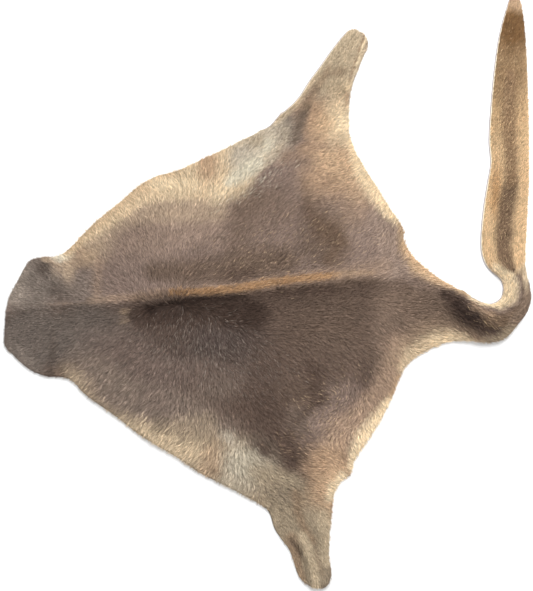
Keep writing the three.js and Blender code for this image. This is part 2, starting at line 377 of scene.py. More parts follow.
class Coat(Enum):
    """The coats that the hide shows, by sRGB colour: most are their hair's colour in even light, and those
    whose names speak of light, shade or shadow also carry painted light and shade.
    """

    CREAM = "d2bd9e"
    PALE_CREAM = "dfcdae"
    RUMP_CREAM = "e3cfae"
    BELLY_TAN = "c4a988"
    BELLY_OLIVE = "a6947c"
    BELLY_STONE = "b29d86"
    ASH_WHITE = "d0c8b4"
    ASH_GREY = "bcb09e"
    ASH_DIM = "aea28f"
    SAND = "b3977b"
    FAWN = "b5987c"
    THIGH_TAN = "cbae8e"
    PEACH = "d0b28f"
    LEG_DUN = "bfad92"
    LEG_OLIVE = "a2927b"
    LEG_BROWN = "967f67"
    LEG_SHADE = "7a6a5c"
    TAIL_GOLD = "d7b991"
    TAIL_AMBER = "b89a74"
    TAIL_UMBER = "987c5c"
    TAIL_RUST = "b88f62"
    BAND_TAN = "a89078"
    # Golden hair on the crest's upper slope, with painted light where that slope faces the lamp.
    LIT_RIDGE_GOLD = "a98561"
    ROSE_GREY = "998475"
    RUMP_ROSE = "a38e7f"
    RUMP_TAN = "a48b76"
    GREY_BROWN = "88756a"
    RUMP_BROWN = "7f6b5c"
    UMBER = "6a584b"
    REDDISH = "6b5646"
    BACK_BROWN = "67554a"
    SHADED_BROWN = "58473d"
    SILVERED = "4f423c"
    ROSE_BROWN = "6d5d54"
    FLANK_GREY = "7b6c60"
    # Dark hair, with painted shade: in the valley under the backbone's crest, over the root of the tail and
    # as the shadow line in a fold of the lower leg.
    DARK_BROWN_AND_SHADE = "44352d"
    # Near-black painted shadow line under the backbone's crest, and dark hair with painted shade over the
    # root of the tail.
    NEAR_BLACK_AND_SHADOW = "31241e"
    HEAD_PALE = "9b8e82"
    HEAD_GREY = "81756b"
    HEAD_SHADE = "6a5f57"
    EAR_BROWN = "574b43"
    STRIPE_BROWN = "6f5846"
    STRIPE_TAN = "92765a"
    TIP_BROWN = "7a5b3b"
    BEND_BROWN = "79634f"
    BEND_GREY = "8f7a68"
    FLUFF_WHITE = "ece3cf"


@dataclass(frozen=True)
class Patch:
    """A soft oval patch of the hide: its middle, half length and half width, and its turn in degrees."""

    x: float
    y: float
    long: float
    wide: float
    turn: float

    def share(self, p: Cloud, soft: float) -> tuple[np.ndarray, np.ndarray]:
        """How much of the patch each place takes, from 1 inside to 0 outside its soft outline.

        Args:
            p: places on the hide.
            soft: how soft the outline is, as a share of the patch.

        Returns:
            The numbers of the places near it, and their shares.
        """
        reach = (1.0 + soft) * max(self.long, self.wide)
        near = np.flatnonzero((np.abs(p.x - self.x) < reach) & (np.abs(p.y - self.y) < reach))
        turn = math.radians(self.turn)
        dx, dy = p.x[near] - self.x, p.y[near] - self.y
        u = (dx * math.cos(turn) + dy * math.sin(turn)) / self.long
        v = (dy * math.cos(turn) - dx * math.sin(turn)) / self.wide
        return near, smooth_step((1.0 + soft - np.hypot(u, v)) / (2.0 * soft))


@dataclass(frozen=True)
class Dapple(Patch):
    """A soft patch of one coat: its strength, from 0 to 1, and how soft its outline is."""

    coat: Coat
    strength: float
    soft: float

    def cover(self, p: Cloud, wandered: Cloud) -> tuple[np.ndarray, np.ndarray]:
        """The places near it, by number, and their shares, read where their outline wanders to."""
        return self.share(wandered, self.soft)


@dataclass(frozen=True)
class Stripe:
    """A soft stripe of one coat along a run of places, with its half width at each."""

    run: Run
    coat: Coat
    strength: float
    soft: float

    def cover(self, p: Cloud, wandered: Cloud) -> tuple[np.ndarray, np.ndarray]:
        """How much of the stripe each place takes, from 1 inside to 0 outside, with no wandering.

        Args:
            p: places on the hide.
            wandered: the same places, moved as outlines wander.

        Returns:
            The numbers of the places near it, and their shares.
        """
        run = np.array(self.run)
        near = np.flatnonzero(near_run(p, run, (1.0 + self.soft) * run[:, 2].max()))
        away, width, _ = to_run(p.x[near], p.y[near], run)
        return near, smooth_step((1.0 + self.soft - away / width) / (2.0 * self.soft))


# The coat is painted in this order, each on what is already there.
BACK_COAT = (
    Dapple(-250, 70, 130, 90, 0, Coat.GREY_BROWN, 1.0, 0.6),
    Dapple(-215, 130, 110, 44, 16, Coat.ROSE_GREY, 0.9, 0.6),
    Dapple(-110, 140, 90, 40, 0, Coat.ROSE_GREY, 0.75, 0.6),
    Stripe(((-226, 47, 17), (-150, 45, 26), (-80, 50, 30), (-20, 60, 30), (40, 66, 22)),
           Coat.UMBER, 0.9, 0.7),
    Dapple(-55, 110, 26, 80, -10, Coat.UMBER, 0.6, 0.8),
    Dapple(-52, 42, 38, 15, 8, Coat.SHADED_BROWN, 0.85, 0.6),
    Dapple(0, 75, 44, 26, 12, Coat.UMBER, 0.5, 0.7),
    Dapple(-10, 200, 80, 24, 32, Coat.RUMP_BROWN, 0.7, 0.6),
    Dapple(20, 170, 60, 34, 15, Coat.RUMP_BROWN, 0.6, 0.7),
    Dapple(40, 238, 50, 24, 15, Coat.GREY_BROWN, 0.7, 0.7),
    Dapple(118, 105, 58, 48, 0, Coat.UMBER, 0.8, 0.6),
    Stripe(((84, 225, 14), (98, 168, 26), (128, 128, 28), (156, 92, 24), (128, 70, 16)),
           Coat.REDDISH, 0.85, 0.7),
    Dapple(225, 110, 50, 66, 15, Coat.RUMP_ROSE, 0.9, 0.6),
    Dapple(196, 110, 20, 50, 15, Coat.GREY_BROWN, 0.6, 0.8),
    Dapple(240, 55, 60, 24, 0, Coat.RUMP_ROSE, 0.8, 0.7),
    Dapple(150, 195, 60, 40, -20, Coat.ROSE_GREY, 0.8, 0.7),
    Dapple(185, 70, 40, 26, 10, Coat.GREY_BROWN, 0.7, 0.7),
    Dapple(168, 168, 30, 26, 0, Coat.RUMP_TAN, 0.7, 0.8),
)

LOWER_COAT = (
    Dapple(-355, -75, 80, 62, 0, Coat.HEAD_SHADE, 1.0, 0.5),
    Dapple(-260, -150, 110, 70, -30, Coat.ROSE_BROWN, 1.0, 0.6),
    Dapple(-300, -190, 100, 40, -38, Coat.FLANK_GREY, 1.0, 0.6),
    Dapple(-180, -230, 130, 34, -20, Coat.FLANK_GREY, 0.95, 0.7),
    Dapple(-120, -150, 120, 40, -10, Coat.ROSE_BROWN, 0.6, 0.8),
    Dapple(-130, -85, 105, 42, -6, Coat.SILVERED, 1.0, 0.7),
    Dapple(-190, -80, 40, 26, 0, Coat.SHADED_BROWN, 0.6, 0.8),
    Dapple(-30, -85, 50, 50, 0, Coat.SILVERED, 0.7, 0.8),
    Dapple(-95, -190, 44, 26, 0, Coat.FLANK_GREY, 0.5, 0.8),
    Dapple(-215, -212, 44, 22, -25, Coat.ROSE_BROWN, 0.5, 0.9),
    Dapple(0, -150, 34, 50, 0, Coat.SHADED_BROWN, 0.7, 0.8),
    Dapple(-20, -215, 60, 36, 0, Coat.SHADED_BROWN, 0.75, 0.8),
    Dapple(8, -288, 60, 28, -34, Coat.SHADED_BROWN, 0.65, 0.7),
    Dapple(40, -315, 44, 18, -20, Coat.SHADED_BROWN, 0.75, 0.7),
    Dapple(90, -90, 90, 80, 0, Coat.BACK_BROWN, 0.5, 0.8),
    Dapple(160, -75, 90, 70, 0, Coat.RUMP_BROWN, 0.35, 0.9),
    Dapple(60, -195, 44, 34, 10, Coat.UMBER, 0.5, 0.7),
    Dapple(150, -40, 60, 60, 0, Coat.UMBER, 0.15, 0.8),
    Dapple(130, -60, 110, 60, 0, Coat.UMBER, 0.35, 0.9),
    Dapple(150, -205, 44, 34, 28, Coat.GREY_BROWN, 0.6, 0.7),
    Dapple(130, -270, 55, 48, 20, Coat.GREY_BROWN, 0.9, 0.6),
    Dapple(148, -268, 34, 26, 25, Coat.FAWN, 0.4, 0.9),
    Dapple(64, -250, 22, 26, 20, Coat.FLANK_GREY, 0.6, 0.8),
    Stripe(((92, -140, 14), (98, -175, 16), (104, -205, 14)), Coat.SHADED_BROWN, 0.75, 0.8),
    Dapple(247, -95, 42, 95, 8, Coat.RUMP_BROWN, 1.0, 0.6),
    Stripe(((203, 20, 14), (205, -60, 16), (203, -130, 16), (194, -170, 12)), Coat.SHADED_BROWN, 0.3, 0.8),
    Stripe(((118, -202, 5), (90, -222, 6), (58, -252, 7)), Coat.SHADED_BROWN, 0.6, 0.8),
    Stripe(((262, -95, 18), (252, -140, 23), (237, -185, 23), (207, -224, 27), (172, -258, 26),
            (148, -296, 20)), Coat.RUMP_TAN, 0.95, 0.7),
    Dapple(300, -20, 70, 45, 0, Coat.RUMP_BROWN, 1.0, 0.6),
    Dapple(345, -2, 26, 20, 0, Coat.UMBER, 0.5, 0.8),
)

# Painted light and shade along the backbone's crest, over the darker and golden hair there: the lit golden
# upper slope, the painted shadow line under the crest, and the painted shade of the valley below it.
CREST_LIGHT_AND_SHADE = (
    Stripe(((-28, -38, 31), (-70, -32, 32), (-130, -32, 32), (-180, -34, 30), (-225, -38, 26)),
           Coat.DARK_BROWN_AND_SHADE, 0.95, 0.5),
    Dapple(-252, -42, 22, 26, 30, Coat.DARK_BROWN_AND_SHADE, 0.85, 0.6),
    Stripe(((20, 6, 10), (100, 14, 12), (180, 22, 12), (215, 26, 8)), Coat.SHADED_BROWN, 0.8, 0.9),
    Stripe(((250, 22, 8), (215, 26, 12), (140, 22, 10)), Coat.RUMP_BROWN, 0.3, 0.9),
    Stripe(((-232, -24, 7), (-205, -16, 8), (-180, -13, 8), (-140, -6, 6), (-90, -3, 6), (-45, 0, 5)),
           Coat.NEAR_BLACK_AND_SHADOW, 0.6, 0.7),
    Dapple(-232, -29, 8, 9, 0, Coat.NEAR_BLACK_AND_SHADOW, 0.9, 0.5),
    Dapple(-178, -38, 16, 9, 0, Coat.NEAR_BLACK_AND_SHADOW, 0.35, 0.8),
    Dapple(-284, -30, 6, 5, 30, Coat.BELLY_TAN, 0.35, 0.8),
    Dapple(-286, -48, 8, 7, 30, Coat.BELLY_TAN, 0.3, 0.8),
    Stripe(((-210, 6, 8), (-150, 9, 8), (-100, 13, 9), (-60, 15, 9), (-20, 21, 10), (20, 28, 11),
            (60, 33, 12), (100, 38, 12), (140, 42, 14), (190, 50, 16), (230, 54, 18)),
           Coat.RUMP_TAN, 0.5, 0.7),
    Stripe(((-190, 8, 4), (-140, 9, 5), (-100, 11, 6), (-60, 14, 6.5), (-20, 21, 7), (20, 28, 7),
            (60, 33, 7), (100, 37, 7), (140, 41, 5)), Coat.LIT_RIDGE_GOLD, 0.95, 0.5),
    Stripe(((136, 41, 6), (175, 44, 6), (212, 46, 4)), Coat.SAND, 0.55, 0.8),
    Stripe(((-352, -9, 6), (-320, -8, 7), (-285, -4, 6), (-250, -1, 6), (-215, 4, 6)), Coat.SAND, 0.4, 0.9),
    Stripe(((-515, -18, 1.5), (-460, -18, 1.5), (-400, -16, 1.5), (-340, -16, 1.2)), Coat.SAND, 0.3, 0.7),
)

HEAD_COAT = (
    Dapple(-470, 25, 62, 55, 0, Coat.HEAD_GREY, 1.0, 0.4),
    Dapple(-500, 8, 22, 30, -10, Coat.HEAD_PALE, 1.0, 0.6),
    Dapple(-490, 36, 9, 26, -35, Coat.HEAD_PALE, 0.8, 0.7),
    Dapple(-465, -85, 75, 64, 0, Coat.HEAD_SHADE, 1.0, 0.3),
    Dapple(-505, -105, 18, 14, 0, Coat.HEAD_GREY, 0.5, 0.8),
    Dapple(-476, -132, 30, 13, -40, Coat.HEAD_GREY, 0.9, 0.8),
    Dapple(-443, 52, 24, 15, -50, Coat.EAR_BROWN, 0.85, 0.5),
    Dapple(-432, 25, 14, 18, 0, Coat.HEAD_SHADE, 0.6, 0.7),
    Dapple(-407, 6, 27, 21, 0, Coat.EAR_BROWN, 0.85, 0.7),
    Dapple(-370, 20, 34, 36, 0, Coat.HEAD_GREY, 0.65, 0.95),
    Dapple(-396, 54, 16, 26, 10, Coat.BELLY_STONE, 0.95, 0.6),
    Stripe(((-446, 74, 5), (-428, 70, 8), (-408, 66, 12)), Coat.BELLY_STONE, 0.9, 0.6),
    Dapple(-414, 50, 14, 16, 0, Coat.BELLY_STONE, 0.5, 0.8),
    Dapple(-410, 77, 14, 7, 0, Coat.FLUFF_WHITE, 0.9, 0.7),
    Dapple(-396, 84, 12, 8, 40, Coat.PALE_CREAM, 0.7, 0.7),
    Dapple(-332, 92, 32, 22, 45, Coat.BELLY_STONE, 0.7, 0.8),
    Stripe(((-338, -4, 8), (-338, 30, 8), (-334, 64, 10)), Coat.RUMP_TAN, 0.5, 0.8),
    Dapple(-362, 88, 34, 22, 50, Coat.BELLY_TAN, 0.5, 0.7),
    Dapple(-428, -120, 8, 40, 0, Coat.EAR_BROWN, 0.6, 0.7),
    Dapple(-430, -155, 14, 6, 0, Coat.EAR_BROWN, 0.35, 0.7),
    Dapple(-384, -160, 28, 16, -38, Coat.BELLY_OLIVE, 0.6, 0.8),
    Dapple(-362, -182, 26, 13, -38, Coat.BELLY_STONE, 0.45, 0.9),
)

FLANK_COAT = (
    Stripe(((-350, 104, 16), (-300, 142, 18), (-260, 162, 20), (-220, 168, 22), (-180, 168, 22),
            (-140, 168, 22), (-100, 170, 22)), Coat.BELLY_STONE, 0.8, 0.7),
    Stripe(((-400, 92, 12), (-365, 122, 18), (-340, 142, 24), (-300, 174, 26), (-260, 206, 30),
            (-220, 224, 36), (-180, 230, 42), (-140, 240, 53), (-100, 250, 64), (-78, 256, 63),
            (-62, 266, 54), (-44, 280, 44), (-10, 300, 36), (20, 324, 26)), Coat.CREAM, 1.0, 0.28),
    Stripe(((-395, 92, 8), (-340, 150, 12), (-290, 192, 16), (-250, 225, 20), (-215, 242, 18),
            (-180, 254, 10)), Coat.BELLY_TAN, 0.6, 0.8),
    Stripe(((-225, 222, 10), (-180, 222, 13), (-150, 220, 12)), Coat.PALE_CREAM, 0.7, 0.8),
    Dapple(-118, 262, 20, 32, 0, Coat.SAND, 0.9, 0.7),
    Dapple(-90, 204, 24, 13, 20, Coat.PALE_CREAM, 0.7, 0.8),
    Dapple(-42, 276, 36, 34, 25, Coat.ASH_GREY, 1.0, 0.5),
    Stripe(((-74, 226, 11), (-60, 236, 14), (-38, 250, 14), (-18, 264, 12)), Coat.ASH_WHITE, 0.9, 0.7),
    Stripe(((-10, 290, 9), (8, 300, 9)), Coat.ASH_WHITE, 0.6, 0.8),
    Stripe(((-388, -168, 8), (-340, -220, 14), (-300, -250, 18), (-262, -276, 20)),
           Coat.BELLY_OLIVE, 0.6, 0.8),
    Stripe(((-285, -242, 10), (-235, -262, 14), (-180, -262, 16), (-120, -256, 20)),
           Coat.BELLY_OLIVE, 0.5, 0.9),
    Stripe(((-350, -225, 8), (-300, -258, 16), (-260, -284, 26), (-220, -294, 36), (-178, -318, 56),
            (-134, -345, 82), (-90, -372, 96), (-50, -394, 90), (-10, -420, 76), (30, -440, 62)),
           Coat.BELLY_OLIVE, 0.9, 0.3),
    Stripe(((-215, -292, 12), (-175, -310, 20), (-145, -314, 16)), Coat.CREAM, 0.6, 0.8),
    Dapple(-46, -344, 62, 50, 22, Coat.ASH_DIM, 0.9, 0.5),
    Dapple(-42, -338, 26, 20, 0, Coat.ASH_WHITE, 0.5, 0.8),
    Dapple(-6, -304, 30, 16, -38, Coat.SHADED_BROWN, 0.9, 0.7),
    Dapple(-76, -282, 18, 12, -40, Coat.ASH_GREY, 0.8, 0.8),
    Dapple(-112, -330, 18, 42, -14, Coat.SAND, 0.5, 0.7),
    Dapple(-103, -350, 16, 20, -20, Coat.LEG_BROWN, 0.7, 0.8),
    Dapple(-238, -270, 32, 12, -33, Coat.CREAM, 0.45, 0.8),
    Dapple(10, -365, 55, 20, -25, Coat.LEG_OLIVE, 0.8, 0.6),
)

LEG_COAT = (
    Dapple(15, 320, 45, 36, 45, Coat.ASH_GREY, 0.9, 0.6),
    Dapple(-34, 262, 30, 18, 35, Coat.ASH_WHITE, 0.45, 0.9),
    Dapple(0, 300, 14, 12, 30, Coat.ASH_WHITE, 0.8, 0.8),
    Dapple(40, 328, 14, 26, -15, Coat.LEG_SHADE, 0.35, 0.9),
    Dapple(-18, 308, 12, 12, 30, Coat.LEG_OLIVE, 0.6, 0.8),
    Dapple(10, 276, 16, 9, 30, Coat.ASH_GREY, 0.6, 0.8),
    Dapple(128, 240, 56, 46, 0, Coat.FAWN, 0.9, 0.6),
    Dapple(115, 350, 45, 55, 60, Coat.FAWN, 1.0, 0.45),
    Dapple(146, 262, 50, 28, -25, Coat.THIGH_TAN, 1.0, 0.6),
    Dapple(182, 215, 24, 34, 30, Coat.THIGH_TAN, 0.6, 0.8),
    Dapple(112, 278, 18, 14, 0, Coat.THIGH_TAN, 0.5, 0.8),
    Dapple(140, 350, 28, 46, -10, Coat.CREAM, 1.0, 0.55),
    Dapple(40, 278, 26, 14, 20, Coat.FAWN, 0.35, 0.9),
    Dapple(104, 322, 18, 14, 0, Coat.THIGH_TAN, 0.5, 0.9),
    Dapple(142, 352, 14, 22, -10, Coat.RUMP_CREAM, 0.6, 0.7),
    Dapple(118, 345, 16, 20, 0, Coat.PEACH, 0.7, 0.8),
    Dapple(158, 300, 16, 16, 0, Coat.PEACH, 0.5, 0.8),
    Dapple(145, 470, 85, 44, 62, Coat.LEG_DUN, 1.0, 0.35),
    Dapple(86, 292, 24, 18, 20, Coat.FAWN, 0.7, 0.7),
    Stripe(((54, 306, 8), (61, 324, 11), (67, 346, 11), (79, 376, 9)), Coat.LEG_SHADE, 0.9, 0.7),
    Stripe(((78, 378, 9), (88, 396, 10), (100, 416, 10), (116, 440, 8), (124, 454, 5)),
           Coat.LEG_BROWN, 0.65, 0.8),
    Stripe(((16, 348, 6), (42, 368, 8), (58, 384, 8), (76, 408, 7), (90, 430, 6)), Coat.CREAM, 0.7, 0.8),
    Dapple(149, 406, 22, 22, 0, Coat.CREAM, 0.9, 0.7),
    Dapple(143, 445, 20, 8, 15, Coat.LEG_BROWN, 0.65, 0.8),
    Dapple(159, 338, 13, 36, -6, Coat.PALE_CREAM, 0.9, 0.7),
    Dapple(159, 392, 5, 18, -5, Coat.SAND, 0.8, 0.6),
    Dapple(160, 418, 5, 10, -5, Coat.RUMP_CREAM, 0.8, 0.7),
    Stripe(((196, 524, 1.2), (188, 500, 1.8), (179, 474, 1.8), (171, 448, 1.8), (164, 422, 1.6)),
           Coat.LEG_BROWN, 0.9, 0.6),
    Stripe(((200, 520, 1.8), (192, 498, 2), (183, 472, 2), (175, 447, 2), (167, 420, 1.8)),
           Coat.PALE_CREAM, 0.9, 0.6),
    Dapple(40, -390, 52, 36, -20, Coat.LEG_OLIVE, 0.9, 0.5),
    Dapple(34, -398, 30, 14, -20, Coat.LEG_SHADE, 0.3, 0.9),
    Dapple(124, -345, 46, 50, 0, Coat.FAWN, 1.0, 0.5),
    Dapple(140, -368, 26, 24, 0, Coat.THIGH_TAN, 0.9, 0.7),
    Dapple(105, -420, 36, 36, 0, Coat.FAWN, 0.9, 0.6),
    Dapple(112, -408, 22, 44, 0, Coat.THIGH_TAN, 0.55, 0.8),
    Dapple(98, -436, 24, 34, 0, Coat.FAWN, 0.8, 0.8),
    Dapple(90, -432, 20, 26, 0, Coat.THIGH_TAN, 0.55, 0.9),
    Stripe(((152, -360, 9), (134, -384, 12), (126, -404, 9)), Coat.PALE_CREAM, 0.9, 0.7),
    Dapple(35, -450, 32, 42, 20, Coat.LEG_OLIVE, 0.9, 0.5),
    Dapple(90, -500, 46, 90, 8, Coat.LEG_OLIVE, 1.0, 0.4),
    Stripe(((114, -440, 14), (119, -480, 12), (120, -530, 11)), Coat.LEG_DUN, 0.8, 0.8),
    Stripe(((58, -395, 9), (62, -430, 9), (72, -458, 8), (92, -490, 6)), Coat.LEG_BROWN, 0.8, 0.8),
    Stripe(((96, -488, 6), (99, -515, 5), (106, -540, 6), (110, -556, 6)), Coat.LEG_BROWN, 0.3, 0.8),
    Stripe(((48, -486, 12), (59, -515, 13), (63, -545, 10), (72, -566, 9)), Coat.LEG_BROWN, 0.9, 0.7),
    Stripe(((72, -478, 7), (82, -502, 8), (90, -535, 7), (97, -560, 8), (100, -586, 8)),
           Coat.LEG_DUN, 0.9, 0.5),
    # Painted shadow line in the fold of the lower leg, beside its pale raised band.
    Stripe(((50, -489, 5), (58, -497, 5.5), (65, -507, 4.5), (71, -518, 3)), Coat.DARK_BROWN_AND_SHADE, 0.65, 0.7),
)

RUMP_EDGES = (
    Stripe(((172, 305, 14), (198, 252, 27), (224, 212, 26), (250, 170, 21), (263, 152, 13)),
           Coat.RUMP_CREAM, 1.0, 0.4),
    Stripe(((268, 148, 6), (274, 125, 12), (278, 104, 14)), Coat.BELLY_TAN, 0.8, 0.7),
    Stripe(((286, 92, 18), (312, 66, 28), (342, 44, 22), (380, 20, 12), (410, -2, 9)),
           Coat.PEACH, 1.0, 0.5),
    Stripe(((266, -165, 9), (258, -190, 8), (248, -210, 10)), Coat.PEACH, 0.6, 0.7),
    Stripe(((246, -214, 12), (228, -252, 22), (204, -292, 28), (184, -324, 22), (172, -344, 10)),
           Coat.RUMP_CREAM, 1.0, 0.5),
    Stripe(((262, -130, 18), (285, -106, 26), (312, -90, 32), (345, -74, 32), (375, -66, 28),
            (400, -74, 20), (426, -90, 12)), Coat.BAND_TAN, 0.75, 0.7),
    Stripe(((272, -146, 10), (290, -124, 19), (314, -106, 20), (340, -92, 22), (366, -86, 20),
            (392, -86, 12), (414, -93, 6)), Coat.CREAM, 0.9, 0.7),
    Stripe(((336, -92, 9), (362, -86, 9)), Coat.RUMP_CREAM, 0.6, 0.8),
)

TAIL_COAT = (
    Dapple(352, -30, 40, 30, -20, Coat.UMBER, 0.6, 0.8),
    # The dark band over the root of the tail, along the fold there: dark hair, with painted shade on its
    # shadowed slope.
    Stripe(((352, 4, 8), (374, -12, 20), (395, -34, 27), (416, -50, 23), (440, -56, 18), (466, -58, 14)),
           Coat.DARK_BROWN_AND_SHADE, 0.95, 0.85),
    Stripe(((380, -18, 8), (399, -38, 14), (420, -48, 11), (440, -58, 7)), Coat.NEAR_BLACK_AND_SHADOW, 0.8, 0.7),
    Stripe(((440, -48, 11), (462, -50, 12), (484, -48, 14), (502, -32, 11)), Coat.BEND_BROWN, 0.9, 0.7),
    Stripe(((436, -90, 8), (462, -88, 10), (490, -68, 12)), Coat.BELLY_OLIVE, 0.9, 0.7),
    Stripe(((492, -50, 10), (508, -32, 12), (518, -10, 10), (521, 10, 9), (515, 30, 6), (504, 46, 5)),
           Coat.BEND_GREY, 0.9, 0.7),
    Stripe(((478, 92, 50), (482, 300, 60), (490, 600, 60)), Coat.TAIL_GOLD, 1.0, 0.15),
    Stripe(((408, -4, 6), (428, -13, 6), (446, -18, 7), (466, -17, 12), (483, -4, 15), (487, 20, 15),
            (476, 42, 15), (457, 58, 7)), Coat.RUMP_CREAM, 1.0, 0.6),
    Stripe(((412, -22, 7), (432, -34, 7), (452, -40, 5)), Coat.SAND, 0.5, 0.8),
    Dapple(522, 45, 8, 30, -10, Coat.RUMP_CREAM, 0.7, 0.7),
    Dapple(458, 206, 46, 11, 90, Coat.TAIL_RUST, 0.8, 0.8),
    Dapple(480, 384, 62, 50, 90, Coat.TAIL_AMBER, 0.75, 0.7),
    Dapple(482, 460, 70, 50, 90, Coat.TAIL_UMBER, 0.95, 0.6),
    Stripe(((491, 50, 6), (482, 62, 13), (475, 78, 16), (473, 100, 15), (475, 124, 18), (476, 150, 16),
            (480, 185, 17), (485, 208, 16), (489, 230, 12)), Coat.STRIPE_BROWN, 0.95, 0.6),
    Stripe(((488, 228, 12), (488, 280, 13), (485, 320, 14), (484, 360, 14), (485, 400, 13), (488, 440, 11)),
           Coat.STRIPE_TAN, 0.9, 0.6),
    Dapple(511, 52, 10, 12, 0, Coat.CREAM, 0.7, 0.8),
    Dapple(492, 535, 46, 40, 90, Coat.TIP_BROWN, 1.0, 0.5),
    Dapple(497, 600, 24, 30, 0, Coat.SAND, 0.9, 0.5),
)

PAINTING = (*BACK_COAT, *LOWER_COAT, *CREST_LIGHT_AND_SHADE, *HEAD_COAT,
            *FLANK_COAT, *LEG_COAT, *RUMP_EDGES, *TAIL_COAT)


@dataclass(frozen=True)
class Grizzle(Patch):
    """A patch where a part of the hairs, from 0 to 1, takes on another coat."""

    coat: Coat
    part: float


GRIZZLES = (
    Grizzle(-130, -90, 110, 50, -5, Coat.HEAD_GREY, 0.22),
    Grizzle(-60, -150, 90, 50, 0, Coat.HEAD_GREY, 0.12),
    Grizzle(60, 90, 130, 60, 10, Coat.BELLY_TAN, 0.06),
    Grizzle(-110, 60, 110, 40, 0, Coat.RUMP_TAN, 0.10),
    Grizzle(-10, 80, 60, 40, 0, Coat.RUMP_TAN, 0.12),
    Grizzle(140, -260, 60, 70, 20, Coat.BELLY_TAN, 0.10),
    Grizzle(130, -180, 70, 40, 20, Coat.BELLY_TAN, 0.04),
    Grizzle(60, -300, 50, 40, 0, Coat.SAND, 0.10),
    Grizzle(30, -390, 50, 30, -15, Coat.EAR_BROWN, 0.22),
    Grizzle(30, 340, 40, 30, 40, Coat.EAR_BROWN, 0.18),
    Grizzle(-30, 215, 70, 20, 30, Coat.ASH_WHITE, 0.15),
    Grizzle(430, -45, 40, 30, -40, Coat.TAIL_GOLD, 0.05),
    Grizzle(480, 140, 120, 26, 90, Coat.TAIL_GOLD, 0.16),
    Grizzle(485, 360, 120, 26, 90, Coat.TAIL_GOLD, 0.16),
    Grizzle(265, 105, 26, 50, 0, Coat.REDDISH, 0.08),
    Grizzle(-250, -220, 120, 40, -35, Coat.EAR_BROWN, 0.15),
    Grizzle(-460, 0, 60, 60, 0, Coat.HEAD_PALE, 0.15),
    Grizzle(110, 240, 50, 60, 0, Coat.RUMP_BROWN, 0.12),
)


@dataclass(frozen=True)
class Growth(Patch):
    """A patch of hair of one growth: its length and width in millimetres, how high it stands, how tufted."""

    length: float
    width: float
    lift: float
    tufted: float


GROWTHS = (
    Growth(-370, -20, 70, 110, 0, 10.0, 1.1, 0.8, 0.10),
    Growth(-475, -30, 75, 120, 0, 8.0, 1.0, 0.6, 0.0),
    Growth(-210, -225, 200, 70, -33, 18.0, 1.3, 1.1, 1.0),
    Growth(-200, 205, 160, 50, 25, 15.0, 1.25, 1.0, 0.4),
    Growth(140, -260, 70, 60, 20, 11.0, 1.3, 1.1, 0.6),
    Growth(110, 450, 130, 75, 60, 8.0, 1.0, 0.7, 0.0),
    Growth(85, -500, 110, 75, -80, 9.0, 1.0, 0.8, 0.1),
    Growth(482, 310, 330, 75, 90, 7.5, 0.95, 0.7, 0.0),
    Growth(495, -10, 50, 60, 0, 10.0, 1.0, 0.8, 0.1),
    Growth(420, -50, 46, 26, -42, 17.0, 1.2, 1.5, 0.8),
    Growth(-415, 74, 30, 14, 0, 11.0, 1.2, 1.6, 0.5),
)


@dataclass(frozen=True)
class Margin:
    """A margin along the hide's edge: runs with its width in millimetres, and how far from them it counts."""

    reach: float
    runs: tuple[Run, ...]

    def width(self, p: Cloud) -> np.ndarray:
        """Width at each place: the nearest place's on a run, fading to 0 from the reach to twice the reach.

        Args:
            p: places on the hide.

        Returns:
            The width at each place, in millimetres.
        """
        width = np.zeros_like(p.x)
        for places in self.runs:
            run = np.array(places)
            near = near_run(p, run, 2.0 * self.reach)
            away, own, _ = to_run(p.x[near], p.y[near], run)
            width[near] += own * smooth_step(2.0 - away / self.reach)
        return width


# Margins of leather that are bare of hair.
BARE_MARGIN = Margin(reach=8.0, runs=(
    ((-10, 332, 1.5), (30, 363, 2.5), (66, 399, 3), (105, 456, 3), (147, 513, 3), (158, 526, 2)),
    ((400, 4, 1), (429, -12, 1.6), (447, -16, 1.6), (470, -4, 2), (472, 20, 2.2), (452, 44, 2.6),
     (432, 78, 3), (428, 121, 3.2), (441, 227, 3.2), (447, 263, 3), (444, 311, 3.2), (448, 381, 3.2),
     (454, 447, 3), (462, 507, 3), (472, 551, 3), (484, 589, 2)),
))

